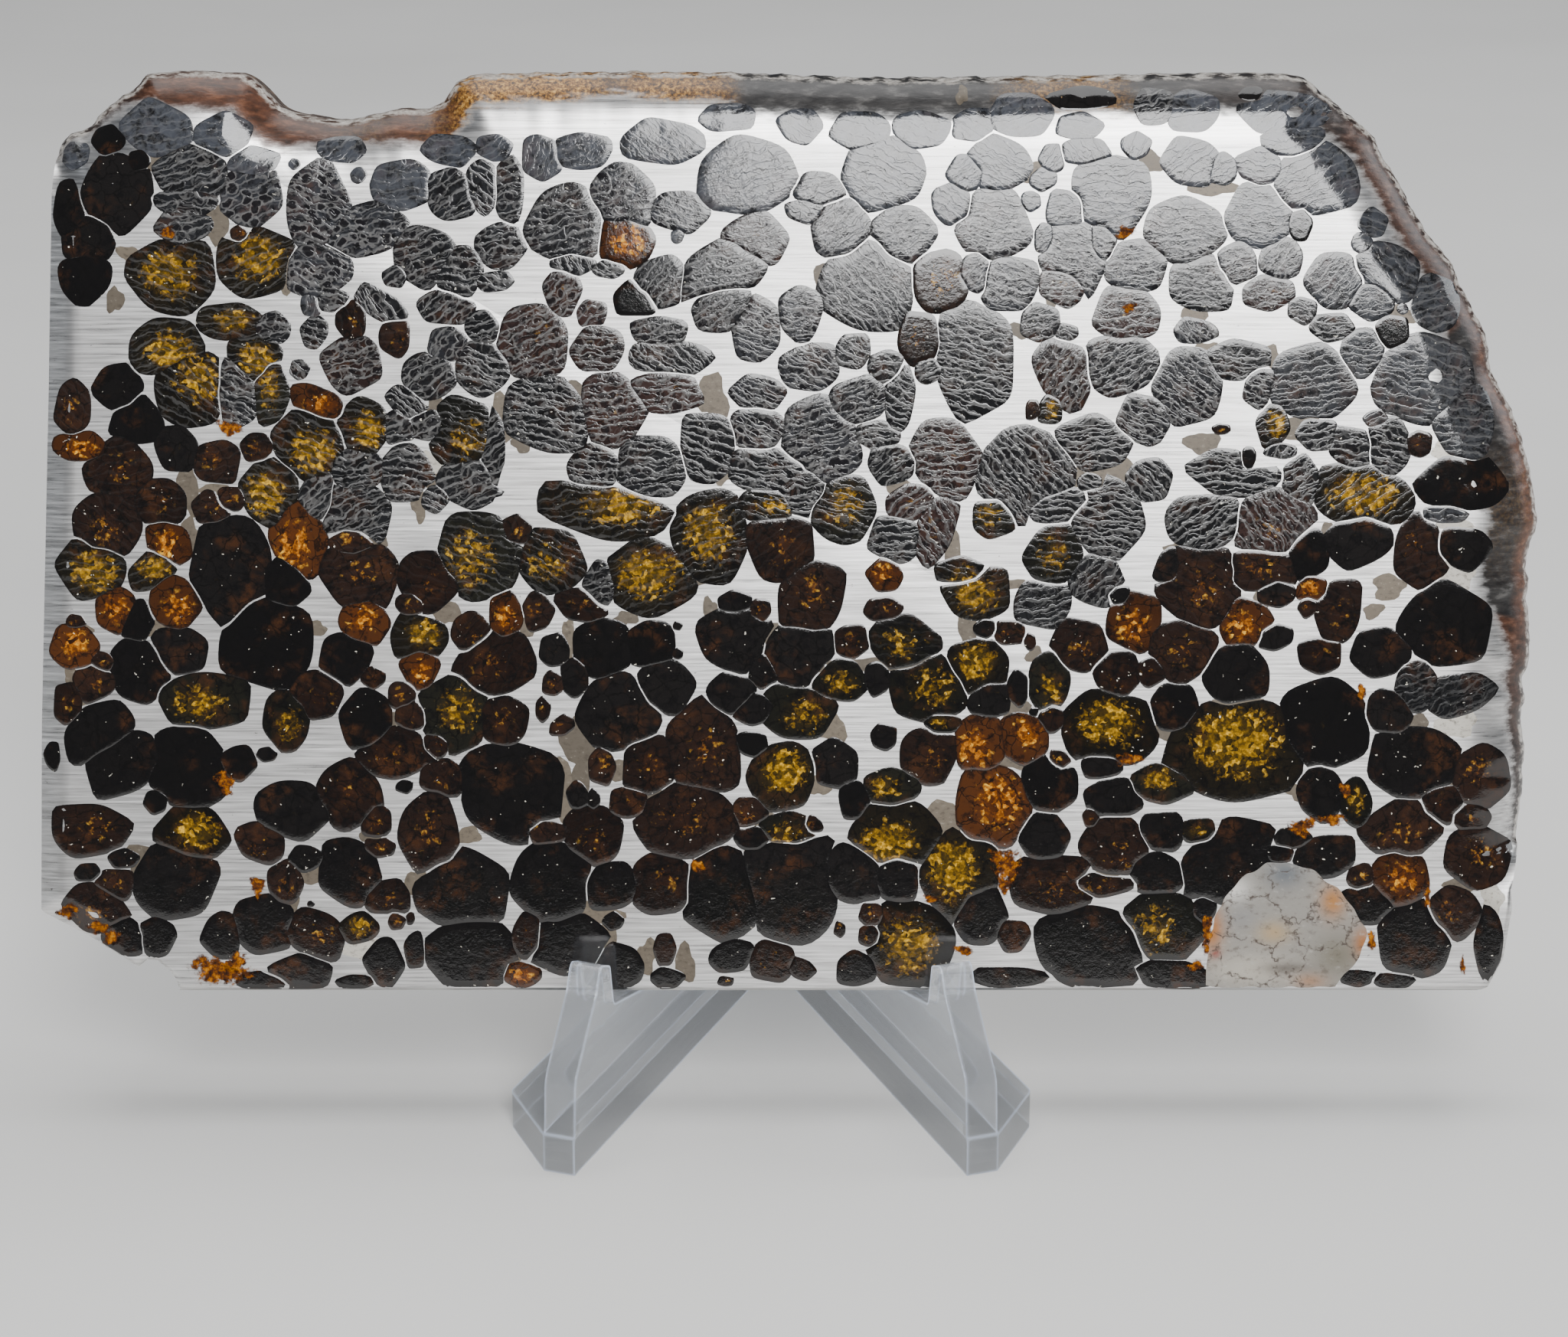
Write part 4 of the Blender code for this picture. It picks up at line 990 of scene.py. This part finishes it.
RUST = (
    (-57, 2, 3.4, 1.9), (-55.5, 2.6, 1.8, 1.4), (22.3, 13, 2, 1.9), (22.2, 10.8, .8, 1.4),
    (-52.9, 10.7, .8, 1.4), (-56, 21.2, 1.1, 1.4), (52, 16.8, 1.6, 1.1), (54.9, 17.5, 1.8, .6),
    (56.2, 20.5, .7, 1.1), (-8.7, 12.8, 1, .7), (18.2, 4.2, 1.3, .6), (14.8, 9.4, .9, .5),
    (41.5, 2.6, 1, .7), (34.5, 23.6, 1.4, .9), (64.7, 9.7, .45, 1.4), (68.4, 2.7, .35, 1.2),
    (-72, 8.2, 1.3, .9), (-69, 6.4, 1.4, .9), (-67.8, 5.6, 1.2, .8), (-54.9, 56.8, 1.4, .9),
    (57.7, 30.4, .7, .8), (59.2, 5, .7, 1.1), (42.6, 6, .7, 2.2), (33.6, 76.2, 1.2, .7), (34, 68.7, 1, .6),
    (-60.6, 76.2, 1, .6),
)


def spot_group(name, lists, rise, material, spokes=20):
    """One mesh of low closed lids. A spot's border is its ellipse times 1 plus waves two, three and
    five times round; lists holds (rows, colour) pairs, and each spot's colour varies a little."""
    shares = np.array([0.03, 0.5, 0.8, 1.0])
    angles, rays = spoke_rays(spokes)
    block = ring_quads(len(shares) + 2, spokes)
    points, quads, caps, tints, rims, slabs = [], [], [], [], [], []
    total = 0
    for rows, colour in lists:
        for u, v, wide, tall in rows:
            dice = np.random.default_rng(int(abs(u) * 131 + abs(v) * 17))
            turns = dice.uniform(0.0, 2 * math.pi, 3)
            wave = 1 + sum(size * np.cos(times * angles + turn)
                           for size, times, turn in zip((0.16, 0.14, 0.10), (2, 3, 5), turns))
            ring = rays * np.array([wide, tall]) * wave[:, None]
            places = np.array([u, v]) + shares[:, None, None] * ring[None]
            places = np.concatenate([places, places[-1:], places[-1:] * 0.3 + np.array([u, v]) * 0.7])
            height = np.concatenate([rise * np.array([1.0, 1.0, 0.95, 0.8]), [-0.3, -0.3]])
            depth = front_depth(places) - height[:, None]
            points.append(lean_back(places[..., 0], places[..., 1], depth).reshape(-1, 3))
            quads.append(block + total)
            first = np.arange(spokes) + total
            caps += [first, (first + (len(shares) + 1) * spokes)[::-1]]
            full = np.repeat(np.append(shares, [1.0, 1.0]), spokes)
            rims.append(full)
            tints.append(np.broadcast_to(np.array(colour) * dice.uniform(0.75, 1.2), (full.size, 3)))
            slabs.append(np.concatenate([places, depth[..., None]], axis=-1).reshape(-1, 3))
            total += full.size
    return make_piece(name, np.concatenate(points), np.concatenate(quads), material,
                      {"rim": np.concatenate(rims)},
                      {"tint": np.concatenate(tints), "slab": np.concatenate(slabs)}, caps)


def mineral_finish(name):
    """The patch's own colour, finely mottled and a little metallic."""
    material, shader, start = new_material(name, Metallic=0.2)
    place = attribute(start, "slab", 1)
    tint = attribute(start, "tint", 0)
    mottle = place.stretched(1.0, 1.4, 1.0).noise(1.6, 4.0, 0.65)
    colour = tint.mixed((0.045, 0.035, 0.025), mottle.between(0.50, 0.32) * 0.6)
    colour = colour.mixed((0.30, 0.27, 0.22), mottle.between(0.58, 0.74) * 0.5)
    feed(shader, Base_Color=colour, Roughness=mottle * 0.2 + 0.22)
    return material


def rust_finish(name):
    """Orange to dark brown by noise; the noise also eats into the border, where rim nears 1."""
    material, shader, start = new_material(name, Roughness=0.75, IOR=1.25)
    place = attribute(start, "slab", 1)
    rim = attribute(start, "rim", 2)
    mottle = place.noise(1.5, 4.0, 0.68)
    colour = mottle.ramp((0.36, (0.014, 0.004, 0.001)), (0.48, (0.085, 0.022, 0.001)),
                         (0.60, (0.30, 0.095, 0.001)), (0.76, (0.52, 0.24, 0.004)))
    inside = (1 - rim) + (place.noise(1.1, 4.0, 0.7) - 0.5) * 2.2
    feed(shader, Base_Color=colour, Alpha=inside.between(0.10, 0.50))
    return material


spot_group("mineral_patches", ((GREY_BROWN, (0.112, 0.090, 0.064)), (PALE_BITS, (0.50, 0.47, 0.41))), 0.012,
           mineral_finish("iron_minerals"))
spot_group("rust_spots", ((RUST, (0.5, 0.2, 0.02)),), 0.055, rust_finish("rust"))
print(len(GREY_BROWN), "grey-brown patches,", len(PALE_BITS), "pale bits and", len(RUST), "rust spots")

# %% [markdown]
# ## The pale inclusion
#
# At the lower right one pale grey, cracked grain reaches down to the saw cut. It is a lid like the
# others, but with its own outline and with rings close enough to carry painted zones: cream below,
# blue-grey above, and rust at both sides. The cracks come from its finish.

# %% Outline and zones of the pale inclusion
INCLUSION = (
    (42.4, 0.35), (42.7, 3.5), (42.9, 6.0), (44.2, 9.5), (46.5, 12.0), (48.5, 13.0), (50.5, 13.2),
    (53.0, 12.4), (55.5, 10.6), (57.3, 8.5), (58.6, 6.3), (58.2, 3.5), (56.5, 1.8), (55.5, 0.35),
)
INCLUSION_MIDDLE = np.array([50.0, 6.0])
# u, v, half width, half height, colour and strength, each later zone painted over the earlier ones
ZONES = (
    (47.5, 2.2, 4.5, 1.5, (0.46, 0.42, 0.35), 0.75), (45.2, 10.4, 1.5, 1.2, (0.62, 0.60, 0.56), 0.9),
    (50.3, 12.0, 1.9, 1.5, (0.105, 0.115, 0.125), 1.0), (49.3, 6.0, 1.6, 1.1, (0.40, 0.25, 0.085), 0.6),
    (43.0, 6.3, 1.2, 2.2, (0.34, 0.115, 0.008), 1.0), (55.2, 9.2, 1.3, 1.7, (0.34, 0.135, 0.020), 0.95),
    (58.3, 4.8, 1.0, 1.5, (0.34, 0.105, 0.008), 1.0), (55.8, 3.6, 2.4, 2.2, (0.115, 0.100, 0.065), 0.8),
    (50.5, 2.3, 2.6, 0.7, (0.03, 0.02, 0.015), 0.7), (43.5, 3.8, 0.5, 0.4, (0.20, 0.02, 0.012), 0.9),
    (53.0, 1.0, 1.6, 0.8, (0.30, 0.12, 0.03), 0.6), (46.2, 7.6, 1.6, 1.3, (0.20, 0.195, 0.19), 0.7),
)


def build_inclusion(material, spokes=120, rings=26):
    """The border's reach at each angle is read off the straight outline; ring k lies at the share
    (k / last)^0.8 of it. Each zone's paint is its strength times exp(-distance^2 / size^2)."""
    corners = np.array(INCLUSION + INCLUSION[:1])
    walked = np.linspace(0.0, len(corners) - 1, 900)
    dense = [np.interp(walked, np.arange(len(corners)), corners[:, axis]) for axis in (0, 1)]
    apart = np.stack(dense, axis=1) - INCLUSION_MIDDLE
    found = np.arctan2(apart[:, 1], apart[:, 0])
    order = np.argsort(found)
    angles, rays = spoke_rays(spokes)
    reach = np.interp(angles, found[order], np.linalg.norm(apart, axis=1)[order], period=2 * math.pi)
    reach *= 1 + 0.012 * np.cos(11 * angles) + 0.010 * np.cos(17 * angles + 1.0)
    shares = np.append(np.linspace(0.02, 1.0, rings) ** 0.8, [1.0, 0.3])
    places = INCLUSION_MIDDLE + shares[:, None, None] * (rays * reach[:, None])[None]
    places[..., 1] = np.maximum(places[..., 1], 0.32)
    height = np.append(np.linspace(0.055, 0.050, rings), [-0.3, -0.3])
    depth = front_depth(places) - height[:, None]
    tint = np.broadcast_to(np.array([0.235, 0.220, 0.195]), (*places.shape[:2], 3)).copy()
    for u, v, wide, tall, colour, strength in ZONES:
        off = (places - np.array([u, v])) / np.array([wide, tall])
        paint = strength * np.exp(-(off**2).sum(axis=-1))[..., None]
        tint += (np.array(colour) - tint) * paint
    slab = np.concatenate([places, depth[..., None]], axis=-1)
    last = (len(shares) - 1) * spokes
    caps = [np.arange(spokes), np.arange(last, last + spokes)[::-1]]
    points = lean_back(places[..., 0], places[..., 1], depth).reshape(-1, 3)
    return make_piece("pale_inclusion", points, ring_quads(len(shares), spokes), material,
                      {}, {"tint": tint, "slab": slab}, caps)


def inclusion_finish(name):
    """The painted zones, mottled, with a coarse and a fine net of brown cracks."""
    material, shader, start = new_material(name, Roughness=0.30)
    place = attribute(start, "slab", 1)
    tint = attribute(start, "tint", 0)
    mottle = place.stretched(0.8, 1.3, 1.0).noise(1.0, 4.0, 0.62)
    bent = place.shifted(place.noise(0.8, 3.0, 0.6, output=1).scaled(2.2))
    colour = tint.mixed((0.070, 0.052, 0.038), mottle.between(0.48, 0.28) * 0.6)
    colour = colour.mixed((0.42, 0.40, 0.36), mottle.between(0.58, 0.76) * 0.45)
    coarse = bent.cells(0.24, "DISTANCE_TO_EDGE").between(0.040, 0.004)
    fine = bent.stretched(0.9, 1.5, 1.0).cells(0.95, "DISTANCE_TO_EDGE").between(0.06, 0.01)
    colour = colour.mixed((0.035, 0.020, 0.013), coarse * mottle.between(0.64, 0.42) * 0.9)
    colour = colour.mixed((0.075, 0.045, 0.030), fine * mottle.between(0.52, 0.34) * 0.35)
    feed(shader, Base_Color=colour, Normal=(mottle - coarse * 0.4).bump(0.3, 0.00004))
    return material


build_inclusion(inclusion_finish("pale_grain"))
print("inclusion about", np.ptp(np.array(INCLUSION), axis=0).round(1), "mm across and high")

# %% [markdown]
# ## The clear stand
#
# The stand is one moulding of clear acrylic, and the imported solid already has its shape, so it only
# gets a better material. Acrylic bends light a little less than glass (its index is 1.49) and is
# faintly blue where the light crosses a lot of it, which a weak absorption inside gives. Light that
# runs along inside the plates leaves at their narrow faces and makes them glow bluish white; here that
# glow is painted, as a bluish white emission near the edges. A render stops such long ways too early
# and shows them black, so a part of the light is scattered at the surface, and a part goes straight
# through, which also lightens the shadow on the table.

# %% Clear acrylic


def clear_plastic(name):
    """Plain transmission with a weak blue absorption. Where the rounded normal leaves the flat one,
    so within half a millimetre of an edge, a painted bluish white glow stands in for the piped light."""
    material, shader, start = new_material(name, IOR=1.49, Base_Color=(0.90, 0.94, 1.0),
                                           Transmission_Weight=0.91, Alpha=0.62, Emission_Strength=1.0)
    place = start.node("ShaderNodeTexCoord", None, 3)
    ripples = place.noise(160.0, 2.0)
    scuffs = place.stretched(900.0, 900.0, 3000.0).noise(1.0, 3.0)
    rounded = start.node("ShaderNodeBevel", Radius=0.0005)
    flat = start.node("ShaderNodeNewGeometry", None, 1)
    agree = start.node("ShaderNodeVectorMath", {"operation": "DOT_PRODUCT"}, output=1, i0=rounded, i1=flat)
    # Painted glow: a bluish white emission near the edges, standing in for light piped through the plates.
    glow = agree.between(0.985, 0.86).blend((0.0, 0.0, 0.0), (0.50, 0.58, 0.74))
    surface = ripples.bump(0.12, 0.0002, Normal=rounded)
    feed(shader, Emission_Color=glow, Roughness=scuffs * 0.02, Normal=surface)
    inside = start.node("ShaderNodeVolumeAbsorption", Color=(0.70, 0.82, 1.0), Density=4.0)
    connect(start.tree, inside, start.tree.nodes["Material Output"].inputs["Volume"])
    return material


clear_acrylic = clear_plastic("clear_acrylic")
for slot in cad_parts["display_stand"].material_slots:
    slot.material = clear_acrylic
print("stand slots:", len(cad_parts["display_stand"].material_slots))

# %% [markdown]
# ## Floor, light and camera
#
# The floor is pale and level. The main light is a soft panel in front, whose lower edge is a little
# above the direction that the polished face mirrors: the brushed metal catches it nearly
# everywhere, while the glossy crystals mirror it only near the top and stay dark below.

# %% Studio


def build_floor(half=1.2, parts=8):
    """A level floor of 8 by 8 quads: height 0 over a square of 2.4 by 2.4 metres."""
    side = np.linspace(-half, half, parts + 1)
    x, y = np.meshgrid(side, side, indexing="ij")
    points = np.stack([x, y, np.zeros_like(x)], axis=-1).reshape(-1, 3)
    corner = (np.arange(parts)[:, None] * (parts + 1) + np.arange(parts)[None]).reshape(-1)
    quads = np.stack([corner, corner + parts + 1, corner + parts + 2, corner + 1], axis=-1)
    mesh = bpy.data.meshes.new("floor")
    mesh.from_pydata(points.tolist(), [], quads.tolist())
    floor = bpy.data.objects.new("floor", mesh)
    bpy.context.scene.collection.objects.link(floor)
    material, shader, start = new_material("pale_floor", Roughness=0.85)
    paper = start.node("ShaderNodeTexCoord", None, 3).noise(9.0, 3.0)
    feed(shader, Base_Color=paper.ramp((0.3, (0.70, 0.69, 0.67)), (0.7, (0.76, 0.75, 0.73))))
    mesh.materials.append(material)
    return floor


def soft_panel(name, place, target, width, height, power, colour=(1.0, 1.0, 1.0)):
    """A rectangular soft light at a place in metres, turned to face a target."""
    lamp = bpy.data.lights.new(name, "AREA")
    lamp.shape = "RECTANGLE"
    lamp.size = width
    lamp.size_y = height
    lamp.energy = power
    lamp.color = colour
    panel = bpy.data.objects.new(name, lamp)
    bpy.context.scene.collection.objects.link(panel)
    panel.location = place
    away = panel.location - type(panel.location)(target)
    panel.rotation_euler = away.to_track_quat("Z", "Y").to_euler()
    return panel


build_floor()
soft_panel("front_panel", (0.14, -0.97, 0.635), (0.02, 0.0, 0.06), 0.40, 0.80, 15.0)
soft_panel("left_strip", (-0.50, -0.25, 0.10), (0.0, 0.0, 0.02), 0.06, 0.16, 0.5, (0.86, 0.93, 1.0))
soft_panel("top_panel", (0.0, 0.15, 0.95), (0.0, 0.0, 0.05), 0.9, 0.7, 7.0)
soft_panel("right_panel", (0.9, 0.1, 0.45), (0.0, 0.0, 0.05), 0.5, 0.6, 4.0, (0.92, 0.96, 1.0))
world = bpy.data.worlds.new("studio")
world.use_nodes = True
world.node_tree.nodes["Background"].inputs["Color"].default_value = (0.80, 0.86, 0.95, 1.0)
world.node_tree.nodes["Background"].inputs["Strength"].default_value = 0.15
bpy.context.scene.world = world

# %% [markdown]
# ## The camera
#
# The photograph looks straight at the stand, down by about 20 degrees, through a long lens. The
# lens length follows from the picture's width in pixels and the focal length in pixels.

# %% Camera at the photograph's angle
IMAGE_WIDTH = 2048
FOCAL_PIXELS = 5500.0
SENSOR_MM = 36.0
CAMERA_PLACE = (-0.00035, -0.4023, 0.1888)
CAMERA_PITCH = math.radians(19.88)


def build_camera():
    """A camera 0.40 m in front and 0.19 m up, pitched down by 19.88 degrees."""
    lens = bpy.data.cameras.new("photo_camera")
    lens.sensor_width = SENSOR_MM
    lens.lens = FOCAL_PIXELS * SENSOR_MM / IMAGE_WIDTH
    lens.clip_start = 0.01
    camera = bpy.data.objects.new("photo_camera", lens)
    bpy.context.scene.collection.objects.link(camera)
    camera.location = CAMERA_PLACE
    camera.rotation_euler = (math.pi / 2 - CAMERA_PITCH, 0.0, 0.0)
    bpy.context.scene.camera = camera
    return camera


print("lens:", round(build_camera().data.lens, 2), "mm")
